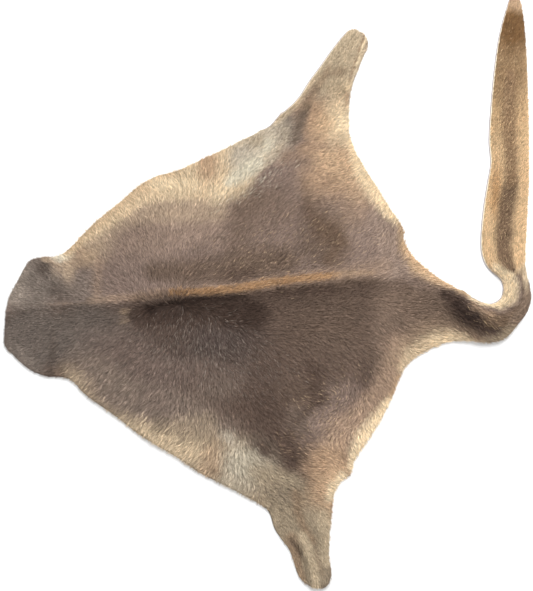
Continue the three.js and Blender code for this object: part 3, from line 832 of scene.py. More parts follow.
# Where the coat's outline is drawn in from the cutting plan's, or out where the width is negative.
DRAWN_MARGIN = Margin(reach=20.0, runs=(
    ((-528, -60, 0), (-518, -108, 1), (-490, -140, 2.5), (-460, -160, 3.2), (-425, -166, 3),
     (-400, -168, 3), (-370, -196, 4), (-320, -236, 5), (-260, -282, 4.5), (-200, -322, 4), (-130, -362, 4),
     (-60, -392, 3.2), (-10, -420, 1.5)),
    ((6, -432, 0.5), (18, -460, 1.5), (30, -484, 0.5)),
    ((-520, 0, 1), (-505, 26, 2), (-488, 58, 2.5), (-470, 76, 3), (-440, 80, 1), (-410, 84, 2),
     (-380, 104, 3.2), (-330, 158, 3.2), (-250, 234, 3.2), (-140, 276, 2.6), (-40, 320, 2)),
    ((168, 398, 0), (163, 378, -1), (162, 352, -0.6), (164, 326, 0.4), (170, 303, -0.6), (181, 281, -1.2),
     (200, 252, 0), (226, 212, 0.5), (256, 168, 0.5), (272, 140, 0.5), (290, 90, 1.5), (330, 58, 3),
     (380, 20, 3), (400, 2, 2)),
    ((282, -138, -0.6), (262, -165, -0.4), (246, -214, 0.6), (228, -252, 1), (204, -292, 1.2),
     (180, -330, 1.8), (166, -356, 1), (140, -380, 1.2), (132, -420, 1), (128, -470, 1), (127, -530, 0),
     (130, -565, 1), (100, -590, 1.5), (70, -570, 0.6), (50, -520, 0.4), (35, -496, 0.4)),
    ((286, -130, -0.6), (304, -122, 0), (360, -102, 1.6), (400, -98, 3), (430, -98, 3), (480, -86, 3),
     (515, -50, 2.5), (530, -10, 1)),
    ((522, 50, -1), (522, 120, -1.8), (524, 200, -1.8), (526, 300, -1.8), (524, 420, -1.5), (514, 540, -1)),
))


class Side(Enum):
    """The side of the backbone that a piece of the coat covers."""

    BOTH = 0
    UPPER = 1
    LOWER = -1


class CoatPart(NamedTuple):
    """A piece of the coat: its name, where it starts and ends along X, and its side of the backbone."""

    name: str
    start: float
    end: float
    side: Side

    def holds(self, root: np.ndarray) -> np.ndarray:
        """Picks the roots, rows of X and Y, that this piece holds."""
        inside = (root[:, 0] >= self.start) & (root[:, 0] < self.end)
        return inside & ((self.side is Side.BOTH) | (np.sign(root[:, 1] - PARTING) == self.side.value))


COAT_PARTS = (
    CoatPart("head", -600, -330, Side.BOTH),
    CoatPart("shoulders", -330, -175, Side.BOTH),
    CoatPart("upper_back", -175, 10, Side.UPPER),
    CoatPart("lower_back", -175, 10, Side.LOWER),
    CoatPart("upper_rump", 10, 290, Side.UPPER),
    CoatPart("lower_rump", 10, 290, Side.LOWER),
    CoatPart("tail", 290, 600, Side.BOTH),
)


@dataclass
class EdgeField:
    """How deep inside the hide's outline each place of the plan lies, on a fine net of places."""

    sides: np.ndarray
    step: float = 2.0
    margin: float = 30.0
    reach: float = 60.0
    low: np.ndarray = field(init=False)
    depth: np.ndarray = field(init=False)
    slope: tuple[np.ndarray, np.ndarray] = field(init=False)

    def __post_init__(self) -> None:
        """Fills the net: distance to the nearest side of the outline, negative outside."""
        ends = self.sides.reshape(-1, 2)
        self.low = ends.min(axis=0) - self.margin
        shape = np.ceil((ends.max(axis=0) + self.margin - self.low) / self.step).astype(int) + 1
        x, y = self.low[0] + self.step * np.arange(shape[0]), self.low[1] + self.step * np.arange(shape[1])
        away = np.full(tuple(shape), self.reach)
        turns = np.zeros((shape[0] + 1, shape[1]), dtype=int)
        for (ax, ay), (bx, by) in self.sides:
            i0, i1 = np.searchsorted(x, (min(ax, bx) - self.reach, max(ax, bx) + self.reach))
            j0, j1 = np.searchsorted(y, (min(ay, by) - self.reach, max(ay, by) + self.reach))
            gx, gy = x[i0:i1, None] - ax, y[None, j0:j1] - ay
            dx, dy = bx - ax, by - ay
            t = np.clip((gx * dx + gy * dy) / (dx * dx + dy * dy), 0.0, 1.0)
            part = away[i0:i1, j0:j1]
            np.minimum(part, np.hypot(gx - t * dx, gy - t * dy), out=part)
            rows = np.flatnonzero((y > min(ay, by)) & (y <= max(ay, by)))
            if len(rows):
                cross = ax + (y[rows] - ay) * dx / dy
                np.add.at(turns, (np.searchsorted(x, cross), rows), 1)
        # A place is inside where a line from the left has crossed the outline an odd number of times.
        inside = np.cumsum(turns, axis=0)[:-1] % 2 == 1
        self.depth = np.where(inside, away, -away)
        self.slope = tuple(np.gradient(self.depth, self.step))

    def read(self, net: np.ndarray, x: np.ndarray, y: np.ndarray) -> np.ndarray:
        """Reads a net at any places, in straight lines between its points.

        Args:
            net: values on the net.
            x: places along X.
            y: places along Y.

        Returns:
            The value at each place.
        """
        # A place past the net's last cell is read just inside it.
        u = np.clip((x - self.low[0]) / self.step, 0.0, net.shape[0] - 1.001)
        v = np.clip((y - self.low[1]) / self.step, 0.0, net.shape[1] - 1.001)
        i, j = u.astype(int), v.astype(int)
        s, t = u - i, v - j
        return ((net[i, j] * (1 - s) + net[i + 1, j] * s) * (1 - t)
                + (net[i, j + 1] * (1 - s) + net[i + 1, j + 1] * s) * t)

    def at(self, x: np.ndarray, y: np.ndarray) -> np.ndarray:
        """Depth inside the outline at each place, negative outside."""
        return self.read(self.depth, x, y)

    def inward(self, x: np.ndarray, y: np.ndarray) -> np.ndarray:
        """Unit direction from the nearest edge at each place."""
        return unit(np.stack([self.read(self.slope[0], x, y), self.read(self.slope[1], x, y)], axis=1))


@dataclass
class HidePlan:
    """The hide's cutting plan: its sections and legs as one net of four-sided cells."""

    section_step: float = 8.0
    half_cells: int = 22
    leg_cells: int = 20
    leg_step: float = 8.0
    leg_half: float = 300.0
    crowding: float = 0.09
    points: Cloud = field(init=False)
    cells: np.ndarray = field(init=False)
    rim: np.ndarray = field(init=False)
    middle: np.ndarray = field(init=False)
    edge: EdgeField = field(init=False)

    def __post_init__(self) -> None:
        """Builds the net, its rim and each point's depth inside it."""
        fore, aft = self.spread(FORE, self.section_step), self.spread(AFT, self.section_step)
        share = np.linspace(0.0, 1.0, self.leg_cells + 1)[1:-1, None]
        loins = fore[-1] + (aft[0] - fore[-1]) * share
        trunk = self.section_points(np.concatenate([fore, loins, aft]))
        upper = self.leg_points(self.spread(UPPER_LEG, self.leg_step))
        lower = self.leg_points(self.spread(LOWER_LEG, self.leg_step))
        self.join([(trunk, False), (upper, True), (lower, False)])
        self.find_rim()
        p = self.points
        ends = np.stack([p.x, p.y], axis=1)
        self.edge = EdgeField(ends[self.rim])
        p.inward = np.maximum(self.edge.at(p.x, p.y), 0.0)
        p.inward[np.unique(self.rim)] = 0.0
        self.middle = (ends.min(axis=0) + ends.max(axis=0)) / 2.0

    @staticmethod
    def spread(rows: tuple[tuple[float, ...], ...], step: float) -> np.ndarray:
        """Evenly spaced rows on smooth curves through a table's rows.

        A row's place is the mean length of its two edges up to it. Between two rows each column is the cubic
        that meets them with the slopes of their neighbours.

        Args:
            rows: the table, whose first four columns are two edge points.
            step: spacing of the new rows.

        Returns:
            The new rows.
        """
        table = np.array(rows, dtype=float)
        gap = np.diff(table[:, :4], axis=0)
        ways = (np.hypot(gap[:, 0], gap[:, 1]) + np.hypot(gap[:, 2], gap[:, 3])) / 2.0
        places = np.concatenate([[0.0], np.cumsum(ways)])
        last = len(table) - 1
        before, after = np.maximum(np.arange(last + 1) - 1, 0), np.minimum(np.arange(last + 1) + 1, last)
        slope = (table[after] - table[before]) / (places[after] - places[before])[:, None]
        at = np.linspace(0.0, places[-1], math.ceil(places[-1] / step) + 1)
        i = np.clip(np.searchsorted(places, at, side="left") - 1, 0, last - 1)
        span = (places[i + 1] - places[i])[:, None]
        t = (at - places[i])[:, None] / span
        p, q, m, n = table[i], table[i + 1], slope[i] * span, slope[i + 1] * span
        return p + m * t + (3 * (q - p) - 2 * m - n) * t ** 2 + (2 * (p - q) + m + n) * t ** 3

    def section_points(self, rows: np.ndarray) -> dict[str, np.ndarray]:
        """Grid of points over sections, from the lower end over the backbone to the upper end.

        Shares of the way from an edge to the backbone follow t - c sin(2 pi t), so they crowd at both.

        Args:
            rows: the sections.

        Returns:
            The grids of each column, by name.
        """
        t = np.arange(self.half_cells + 1) / self.half_cells
        half = t - self.crowding * np.sin(2.0 * math.pi * t)
        ux, uy, lx, ly, spine, crest, arch = (rows[:, i:i + 1] for i in range(7))
        share = np.concatenate([half[None, :] * spine, 1.0 - half[None, -2::-1] * (1.0 - spine)], axis=1)
        length = np.hypot(ux - lx, uy - ly)
        plain = np.ones_like(share)
        return {
            "x": lx + (ux - lx) * share,
            "y": ly + (uy - ly) * share,
            "crest": crest * plain,
            "arch": arch * plain,
            "from_spine": (share - spine) * length,
            "half": np.where(share > spine, 1.0 - spine, spine) * length,
        }

    def leg_points(self, rows: np.ndarray) -> dict[str, np.ndarray]:
        """Grid of points over a leg, straight from its front edge to its back edge in each section.

        Args:
            rows: the leg's sections.

        Returns:
            The grids of each column, by name.
        """
        share = np.linspace(0.0, 1.0, self.leg_cells + 1)[None, :]
        x = rows[:, 0:1] + (rows[:, 2:3] - rows[:, 0:1]) * share
        y = rows[:, 1:2] + (rows[:, 3:4] - rows[:, 1:2]) * share
        none = np.zeros_like(x)
        return {"x": x, "y": y, "crest": none, "arch": none, "from_spine": y, "half": none + self.leg_half}

    def join(self, grids: list[tuple[dict[str, np.ndarray], bool]]) -> None:
        """Joins the grids into one net, with points that meet, to a hundredth of a millimetre, made one.

        Args:
            grids: each grid of points, and whether its cells turn the other way.
        """
        columns = {name: np.concatenate([g[name].ravel() for g, _ in grids]) for name in grids[0][0]}
        cells, start = [], 0
        for grid, flipped in grids:
            rows, cols = grid["x"].shape
            number = start + np.arange(rows * cols).reshape(rows, cols)
            cell = np.stack([number[:-1, :-1], number[1:, :-1], number[1:, 1:], number[:-1, 1:]], axis=-1)
            cell = cell.reshape(-1, 4)
            cells.append(cell[:, ::-1] if flipped else cell)
            start += rows * cols
        key = np.round(np.stack([columns["x"], columns["y"]], axis=1), 2)
        _, first, number = np.unique(key, axis=0, return_index=True, return_inverse=True)
        self.points = Cloud(**{name: values[first] for name, values in columns.items()})
        self.cells = number.ravel()[np.concatenate(cells)]

    def find_rim(self) -> None:
        """Finds the sides of cells that no other cell shares, in the way that their cell goes round."""
        count = len(self.points.x)
        sides = np.stack([self.cells, np.roll(self.cells, -1, axis=1)], axis=-1).reshape(-1, 2)
        code = sides[:, 0].astype(np.int64) * count + sides[:, 1]
        other = sides[:, 1].astype(np.int64) * count + sides[:, 0]
        self.rim = sides[~np.isin(code, other)]


@dataclass(frozen=True)
class Relief:
    """How the skin lies: the raised backbone, the folds beside it and the soft waves, in millimetres.

    Each wave of the coat is its height, its lengths along X and Y, and its start.
    """

    leather: float = 2.0
    coat: float = 6.0
    coat_at_edge: float = 1.5
    edge_rounding: float = 24.0
    waves: tuple[tuple[float, float, float, float], ...] = (
        (1.1, 310.0, 460.0, 0.4),
        (0.8, 170.0, -240.0, 1.9),
    )
    upper_slope: float = 58.0
    lower_slope: float = 24.0
    trough_depth: float = 2.5
    trough_place: float = 52.0
    trough_width: float = 26.0
    trough_full_crest: float = 18.0
    lift_from: float = 3.0
    sink: float = 0.8
    fold_steps: int = 60
    fold_fade: float = 0.22
    fold_reach: float = 3.0

    def rise(self, p: Cloud) -> np.ndarray:
        """Height of the skin's folds over the floor.

        The backbone is crest times exp(-|d| / slope), less a bell-shaped trough on its lower side, and each
        section is bowed up by arch times 1 - (d / half)^2, where d is the distance from the backbone.

        Args:
            p: places on the hide.

        Returns:
            The height at each.
        """
        above = p.from_spine > 0.0
        slope = np.minimum(np.where(above, self.upper_slope, self.lower_slope), p.half / 2.0)
        rise = p.crest * np.exp(-np.abs(p.from_spine) / slope)
        rise += p.arch * (1.0 - (p.from_spine / p.half) ** 2)
        bell = np.exp(-((p.from_spine + self.trough_place) / self.trough_width) ** 2)
        full = np.minimum(p.crest / self.trough_full_crest, 1.0)
        rise -= np.where(above, 0.0, self.trough_depth * full * bell)
        return rise + sum(self.fold_rise(fold, p) for fold in FOLDS)

    def fold_rise(self, fold: Fold, p: Cloud) -> np.ndarray:
        """Height of one fold: a bell across its bowed line, which dies out towards both ends.

        Args:
            fold: the fold.
            p: places on the hide.

        Returns:
            The height at each.
        """
        t = np.linspace(0.0, 1.0, self.fold_steps + 1)
        a, b, c = (1 - t) ** 2, 2 * t * (1 - t), t ** 2
        x = a * fold.x0 + b * fold.x1 + c * fold.x2
        y = a * fold.y0 + b * fold.y1 + c * fold.y2
        run = np.stack([x, y, t], axis=1)
        near = near_run(p, run, self.fold_reach * max(fold.left, fold.right))
        rise = np.zeros_like(p.x)
        away, place, side = to_run(p.x[near], p.y[near], run)
        fade = smooth_step(np.minimum(place, 1.0 - place) / self.fold_fade)
        reach = np.where(side > 0.0, fold.left, fold.right)
        rise[near] = fold.height * fade * np.exp(-(away / reach) ** 2)
        return rise

    def underside(self, rise: np.ndarray) -> np.ndarray:
        """Height of the skin's underside: on the floor but under the higher folds."""
        return np.maximum(rise - self.lift_from, 0.0)

    def skin_top(self, rise: np.ndarray) -> np.ndarray:
        """Height of the leather's hair side."""
        return self.underside(rise) + self.leather + np.clip(rise, -self.sink, self.lift_from)

    def coat_height(self, p: Cloud) -> np.ndarray:
        """Depth of the lying coat: in soft waves, and rounded down to the cut edge as a quarter circle.

        Args:
            p: places on the hide.

        Returns:
            The depth at each.
        """
        full = np.sqrt(1.0 - (1.0 - np.minimum(p.inward / self.edge_rounding, 1.0)) ** 2)
        wave = sum(height * np.sin(2 * math.pi * (p.x / along + p.y / across) + start)
                   for height, along, across, start in self.waves)
        return self.coat_at_edge + (self.coat + wave - self.coat_at_edge) * full


@dataclass(frozen=True)
class CoatMap:
    """The colours of the coat over the hide, painted patch by patch."""

    wander: float = 4.0
    wander_length: float = 45.0
    spine_blur: float = 10.0
    mottle: float = 0.035
    mottle_lengths: tuple[float, ...] = (90.0, 38.0, 17.0)

    def paint(self, p: Cloud) -> np.ndarray:
        """Linear colour of the coat at each place.

        The two halves are laid in first, then the patches and stripes in their order, the patches with a
        slightly wandering outline, and last a faint mottle.

        Args:
            p: places on the hide.

        Returns:
            One linear colour a place.
        """
        x = p.x + self.wander * ripple(p.x, p.y, Seed.WANDER_X, self.wander_length)
        y = p.y + self.wander * ripple(p.x, p.y, Seed.WANDER_Y, self.wander_length)
        wandered = replace(p, x=x, y=y)
        # The lower half is laid in darker than the upper: partly the coat's own colour, partly painted shade
        # of the side that slopes away from the light.
        upper = smooth_step(p.from_spine / self.spine_blur + 0.5)[:, None]
        colour = srgb_to_linear(Coat.BACK_BROWN.value) * (1.0 - upper)
        colour = colour + srgb_to_linear(Coat.GREY_BROWN.value) * upper
        for patch in PAINTING:
            near, share = patch.cover(p, wandered)
            part = colour[near]
            change = (srgb_to_linear(patch.coat.value) - part) * (patch.strength * share)[:, None]
            colour[near] = part + change
        waves = sum(ripple(p.x, p.y, Seed.MOTTLE + k, length) for k, length in enumerate(self.mottle_lengths))
        return colour * np.exp(self.mottle * waves)[:, None]


@dataclass(frozen=True)
class HairFlow:
    """The way that the hair lies over the hide, spread from the table of ways."""

    blur: float = 5.0
    sway: float = 0.09
    sway_lengths: tuple[float, float] = (60.0, 22.0)

    def direction(self, p: Cloud) -> np.ndarray:
        """Unit plan direction of the hair at each place: the table's directions weighted by 1 / distance^4.

        Args:
            p: places on the hide.

        Returns:
            One direction a place.
        """
        total = np.zeros((len(p.x), 2))
        for way in WAYS:
            weight = 1.0 / ((p.x - way.x) ** 2 + (p.y - way.y) ** 2 + self.blur ** 2) ** 2
            angle = math.radians(way.angle)
            total[:, 0] += weight * math.cos(angle)
            total[:, 1] += weight * math.sin(angle)
        turn = sum(ripple(p.x, p.y, Seed.SWAY + k, length) for k, length in enumerate(self.sway_lengths))
        return turned(unit(total), self.sway * turn)


def add_node(tree: bpy.types.NodeTree, kind: str, settings: dict | None = None,
             inputs: dict | None = None) -> bpy.types.Node:
    """Adds a node with its settings, input values and links.

    Args:
        tree: the material's nodes.
        kind: the node's type.
        settings: its properties by name.
        inputs: its sockets by name or number, each a value or another node's output socket.

    Returns:
        The node.
    """
    node = tree.nodes.new(kind)
    for name, value in (settings or {}).items():
        setattr(node, name, value)
    for name, value in (inputs or {}).items():
        if isinstance(value, bpy.types.NodeSocket):
            tree.links.new(value, node.inputs[name])
        else:
            node.inputs[name].default_value = value
    return node


def new_material(name: str, values: dict[str, float]) -> tuple[bpy.types.Material, bpy.types.Node]:
    """A material with a shader joined to its output.

    Args:
        name: the finish's name.
        values: the shader's own values, by socket.

    Returns:
        The material and its shader.
    """
    material = bpy.data.materials.new(name)
    material.use_nodes = True
    material.node_tree.nodes.clear()
    shader = add_node(material.node_tree, "ShaderNodeBsdfPrincipled", inputs=values)
    add_node(material.node_tree, "ShaderNodeOutputMaterial", inputs={"Surface": shader.outputs["BSDF"]})
    return material, shader


@dataclass(frozen=True)
class HairFinish:
    """Kangaroo hair: a fine, softly glossy strand, darker at the root, with a paler band near its tip.

    The shades are places along the strand, from root to tip, and how light it is there.
    """

    name: str = "kangaroo_hair"
    shades: tuple[tuple[float, float], ...] = ((0.0, 0.60), (0.4, 0.96), (0.75, 1.12), (1.0, 1.02))
    brightest: float = 1.5
    roughness: float = 0.6
    gloss: float = 0.16
    ior: float = 1.55

    def make(self) -> bpy.types.Material:
        """Builds the finish from the hair's own coat and along attributes.

        Returns:
            The material.
        """
        material, shader = new_material(
            self.name, {"Roughness": self.roughness, "Specular IOR Level": self.gloss, "IOR": self.ior})
        tree = material.node_tree
        coat = add_node(tree, "ShaderNodeAttribute", {"attribute_name": "coat"})
        along = add_node(tree, "ShaderNodeAttribute", {"attribute_name": "along"})
        # A root in the shade of its neighbours, then a paler band towards the tip: the grizzle of the coat.
        shade = add_node(tree, "ShaderNodeFloatCurve", inputs={"Value": along.outputs["Fac"]})
        curve = shade.mapping.curves[0]
        heights = [(place, light / self.brightest) for place, light in self.shades]
        curve.points[0].location, curve.points[1].location = heights[0], heights[-1]
        for place, height in heights[1:-1]:
            curve.points.new(place, height)
        shade.mapping.update()
        lit = add_node(tree, "ShaderNodeMath", {"operation": "MULTIPLY"},
                       {0: shade.outputs["Value"], 1: self.brightest})
        mixed = add_node(tree, "ShaderNodeVectorMath", {"operation": "SCALE"},
                         {0: coat.outputs["Color"], "Scale": lit.outputs[0]})
        tree.links.new(mixed.outputs["Vector"], shader.inputs["Base Color"])
        return material


@dataclass(frozen=True)
class LeatherFinish:
    """Tanned kangaroo leather: bluish cut edge, pale suede flesh side, and on its hair side dark hair roots
    with painted shade between the strands.

    The stops are places on the suede's mottle and how light it is there, and the widths are in millimetres.
    """

    name: str = "tanned_leather"
    suede: str = "cfc5b6"
    suede_stops: tuple[tuple[float, float], ...] = ((0.3, 0.75), (0.7, 1.05))
    cut_edge: str = "aaa2a8"
    bare_grain: str = "e4d9bd"
    nap_mm: float = 1.2
    nap_detail: float = 3.0
    nap_strength: float = 0.4
    nap_depth_mm: float = 0.3
    vein_mm: float = 60.0
    vein_detail: float = 5.0
    root_shade: float = 0.62
    cut_edge_width: float = 1.7
    cut_edge_blur: float = 0.2
    roughness: float = 0.9
    gloss: float = 0.2

    def make(self) -> bpy.types.Material:
        """Builds suede with a short nap and faint veins below, and on top the bare margin and the dark roots
        with painted shade.

        Returns:
            The material.
        """
        material, shader = new_material(
            self.name, {"Roughness": self.roughness, "Specular IOR Level": self.gloss})
        tree = material.node_tree
        place = add_node(tree, "ShaderNodeTexCoord").outputs["Object"]
        nap = add_node(tree, "ShaderNodeTexNoise", inputs={
            "Vector": place, "Scale": 1.0 / (self.nap_mm * MM), "Detail": self.nap_detail})
        vein = add_node(tree, "ShaderNodeTexNoise", inputs={
            "Vector": place, "Scale": 1.0 / (self.vein_mm * MM), "Detail": self.vein_detail})
        both = add_node(tree, "ShaderNodeMix", {"data_type": "FLOAT"},
                        {"Factor": 0.5, 2: nap.outputs["Fac"], 3: vein.outputs["Fac"]})
        suede = add_node(tree, "ShaderNodeValToRGB", inputs={"Fac": both.outputs[0]})
        for stop, (position, light) in zip(suede.color_ramp.elements, self.suede_stops):
            stop.position, stop.color = position, (*(srgb_to_linear(self.suede) * light), 1.0)
        coat, haired, inward = (add_node(tree, "ShaderNodeAttribute", {"attribute_name": name})
                                for name in ("coat", "haired", "inward"))
        # The hair side under the coat: the coat's colour darkened, as dark roots with painted shade of the
        # deep coat between the strands.
        roots = add_node(tree, "ShaderNodeVectorMath", {"operation": "SCALE"},
                         {0: coat.outputs["Color"], "Scale": self.root_shade})
        # The margin that the hair doesn't cover: a bluish cut edge, then a line of bare pale grain.
        past_cut = add_node(tree, "ShaderNodeMapRange", inputs={
            "Value": inward.outputs["Fac"], "From Min": self.cut_edge_width - self.cut_edge_blur,
            "From Max": self.cut_edge_width + self.cut_edge_blur})
        margin = add_node(tree, "ShaderNodeMix", {"data_type": "RGBA"}, {
            "Factor": past_cut.outputs["Result"], 6: (*srgb_to_linear(self.cut_edge), 1.0),
            7: (*srgb_to_linear(self.bare_grain), 1.0)})
        covered = add_node(tree, "ShaderNodeMapRange", inputs={
            "Value": inward.outputs["Fac"], "From Min": COVERED_FROM, "From Max": COVERED_AT})
        hair_side = add_node(tree, "ShaderNodeMix", {"data_type": "RGBA"}, {
            "Factor": covered.outputs["Result"], 6: margin.outputs[2], 7: roots.outputs["Vector"]})
        colour = add_node(tree, "ShaderNodeMix", {"data_type": "RGBA"}, {
            "Factor": haired.outputs["Fac"], 6: suede.outputs["Color"], 7: hair_side.outputs[2]})
        tree.links.new(colour.outputs[2], shader.inputs["Base Color"])
        bump = add_node(tree, "ShaderNodeBump", inputs={
            "Height": nap.outputs["Fac"], "Strength": self.nap_strength, "Distance": self.nap_depth_mm * MM})
        tree.links.new(bump.outputs["Normal"], shader.inputs["Normal"])
        return material


@dataclass(frozen=True)
class FloorFinish:
    """Plain white studio paper: matt, with no grain that shows."""

    name: str = "studio_paper"
    colour: str = "f7f7f7"
    darkest: float = 0.99
    grain: float = 40.0
    roughness: float = 0.95
    gloss: float = 0.1

    def make(self) -> bpy.types.Material:
        """Builds the paper with the faintest mottle, so it isn't one flat colour.

        Returns:
            The material.
        """
        material, shader = new_material(
            self.name, {"Roughness": self.roughness, "Specular IOR Level": self.gloss})
        tree = material.node_tree
        place = add_node(tree, "ShaderNodeTexCoord")
        grain = add_node(tree, "ShaderNodeTexNoise", inputs={
            "Vector": place.outputs["Object"], "Scale": self.grain})
        tone = add_node(tree, "ShaderNodeValToRGB", inputs={"Fac": grain.outputs["Fac"]})
        white = srgb_to_linear(self.colour)
        tone.color_ramp.elements[0].color = (*(white * self.darkest), 1.0)
        tone.color_ramp.elements[1].color = (*white, 1.0)
        tree.links.new(tone.outputs["Color"], shader.inputs["Base Color"])
        return material


def new_piece(name: str, points: np.ndarray, faces: np.ndarray, material: bpy.types.Material,
              smooth: bool) -> bpy.types.Object:
    """A mesh object from whole arrays of points and faces of one size.

    Args:
        name: the piece's name.
        points: rows of X, Y, Z in metres.
        faces: rows of point numbers.
        material: its finish.
        smooth: whether its faces are shaded smooth.

    Returns:
        The object, at the origin.
    """
    mesh = bpy.data.meshes.new(name)
    corners = faces.shape[1]
    mesh.vertices.add(len(points))
    mesh.vertices.foreach_set("co", points.astype(np.float32).ravel())
    mesh.loops.add(faces.size)
    mesh.loops.foreach_set("vertex_index", faces.astype(np.int32).ravel())
    mesh.polygons.add(len(faces))
    mesh.polygons.foreach_set("loop_start", np.arange(0, faces.size, corners, dtype=np.int32))
    mesh.polygons.foreach_set("use_smooth", np.full(len(faces), smooth))
    mesh.update(calc_edges=True)
    mesh.validate()
    mesh.materials.append(material)
    piece = bpy.data.objects.new(name, mesh)
    bpy.context.scene.collection.objects.link(piece)
    return piece


def set_attribute(piece: bpy.types.Object, name: str, values: np.ndarray) -> None:
    """Stores a number or a linear colour at each point of a piece.

    Args:
        piece: the piece.
        name: the attribute's name.
        values: one number or one row of three a point.
    """
    kind, key = "FLOAT", "value"
    if values.ndim == 2:
        kind, key = "FLOAT_COLOR", "color"
        values = np.concatenate([values, np.ones((len(values), 1))], axis=1)
    attribute = piece.data.attributes.new(name, kind, "POINT")
    attribute.data.foreach_set(key, values.astype(np.float32).ravel())


@dataclass
class Skin:
    """The leather: one sheet on the hide's folds, a little inside the ends of its hair."""

    plan: HidePlan
    relief: Relief
    coats: CoatMap
    inset: float = 2.2
    inset_reach: float = 16.0
    bare_from: float = 0.5

    def bare(self, p: Cloud) -> np.ndarray:
        """Picks the places by a margin that is bare of hair."""
        return BARE_MARGIN.width(p) > self.bare_from

    def lay(self) -> tuple[Cloud, np.ndarray, np.ndarray]:
        """Works out where the leather lies.

        Each point moves in from the rim by inset times exp(-(inward / reach)^2), but for the bare margins.

        Returns:
            The points' plan places, the height of the underside and of the hair side.
        """
        p = self.plan.points
        way = self.plan.edge.inward(p.x, p.y)
        inset = np.where(self.bare(p), 0.0, self.inset + DRAWN_MARGIN.width(p))
        shift = inset * np.exp(-(p.inward / self.inset_reach) ** 2)
        moved = p.moved(shift * way[:, 0], shift * way[:, 1])
        rise = self.relief.rise(moved)
        return moved, self.relief.underside(rise), self.relief.skin_top(rise)

    def build(self, material: bpy.types.Material) -> bpy.types.Object:
        """Builds the leather as one closed sheet: hair side, flesh side and cut edge.

        Args:
            material: its finish.

        Returns:
            The piece.
        """
        p, under, top = self.lay()
        count = len(p.x)
        flat = np.stack([p.x - self.plan.middle[0], p.y - self.plan.middle[1]], axis=1)
        points = np.concatenate([np.column_stack([flat, top]), np.column_stack([flat, under])]) * MM
        a, b = self.plan.rim[:, 0], self.plan.rim[:, 1]
        wall = np.stack([a, a + count, b + count, b], axis=1)
        faces = np.concatenate([self.plan.cells, self.plan.cells[:, ::-1] + count, wall])
        piece = new_piece("leather", points, faces, material, True)
        colours = self.coats.paint(p)
        inward = np.where(self.bare(p), p.inward, p.inward + COVERED_AT)
        set_attribute(piece, "coat", np.concatenate([colours, colours]))
        set_attribute(piece, "haired", np.repeat([1.0, 0.0], count))
        set_attribute(piece, "inward", np.concatenate([inward, inward]))
        return piece


class HairKind(NamedTuple):
    """One kind of hair, beside what its place gives it.

    How many to a square centimetre, its share of the length, width and lift there, how far its directions
    and its lightness scatter, and its outline: across and along the strand, for each of its points.
    """

    per_cm2: float
    length: float
    width: float
    lift: float
    spread: float
    tint: float
    outline: tuple[tuple[float, float], ...]


# A guard hair is a bowed blade of three triangles, and a fine hair is a single one.
GUARD_HAIR = HairKind(per_cm2=38.0, length=1.0, width=1.0, lift=1.0, spread=0.15, tint=0.17,
                      outline=((-0.35, 0.0), (0.35, 0.0), (-0.5, 0.5), (0.5, 0.5), (0.0, 1.0)))
FINE_HAIR = HairKind(per_cm2=46.0, length=0.85, width=0.75, lift=1.1, spread=0.28, tint=0.30,
                     outline=((-0.5, 0.0), (0.5, 0.0), (0.0, 1.0)))
# The triangles of a strand, by how many points its outline has.
FACES = {5: ((0, 1, 3), (0, 3, 2), (2, 3, 4)), 3: ((0, 1, 2),)}


@dataclass
class Strands:
    """Strands of one kind: their points, colour, and place along each."""

    points: np.ndarray
    colour: np.ndarray
    along: np.ndarray

    def some(self, own: np.ndarray) -> Strands:
        """The strands that a mask picks."""
        return Strands(self.points[own], self.colour[own], self.along)

    def faces(self, start: int) -> np.ndarray:
        """Triangles of all the strands, when their first point has a number."""
        size = self.points.shape[1]
        first = start + size * np.arange(len(self.points))
        return (first[:, None, None] + np.array(FACES[size])[None]).reshape(-1, 3)


@dataclass(frozen=True)
class Locks:
    """Locks that stand above the coat, and gaps between them: a random field smeared out along the flow.

    The width and the reach are in millimetres, and the fine locks are so many times finer. The contrast is
    how much painted light a lock takes, and painted shade a gap, against the coat.
    """

    width: float = 6.5
    reach: float = 9.0
    steps: int = 7
    waves: int = 12
    finer: float = 1.9
    fine_share: float = 0.8
    gain: float = 0.36
    most: float = 1.6
    contrast: float = 0.22
    plain: float = 0.35

    def at(self, p: Cloud, way: np.ndarray) -> np.ndarray:
        """How much of a lock each strand is: the sum of the field at a few steps along the strand's way.

        Args:
            p: the roots.
            way: the strands' directions.

        Returns:
            Values of about -1 to 1: a lock where it is positive, and a gap where it is negative.
        """
        total = np.zeros_like(p.x)
        for step in np.linspace(-1.0, 1.0, self.steps) * self.reach:
            x, y = p.x + way[:, 0] * step, p.y + way[:, 1] * step
            fine = ripple(x, y, Seed.FINE_LOCKS, self.width / self.finer, self.waves)
            total += ripple(x, y, Seed.LOCKS, self.width, self.waves) + self.fine_share * fine
        return np.clip(self.gain * total, -self.most, self.most)

    def light(self, tufted: np.ndarray) -> np.ndarray:
        """Painted light on a lock against painted shade in a gap, by how tufted the coat is."""
        return self.contrast * (self.plain + tufted)


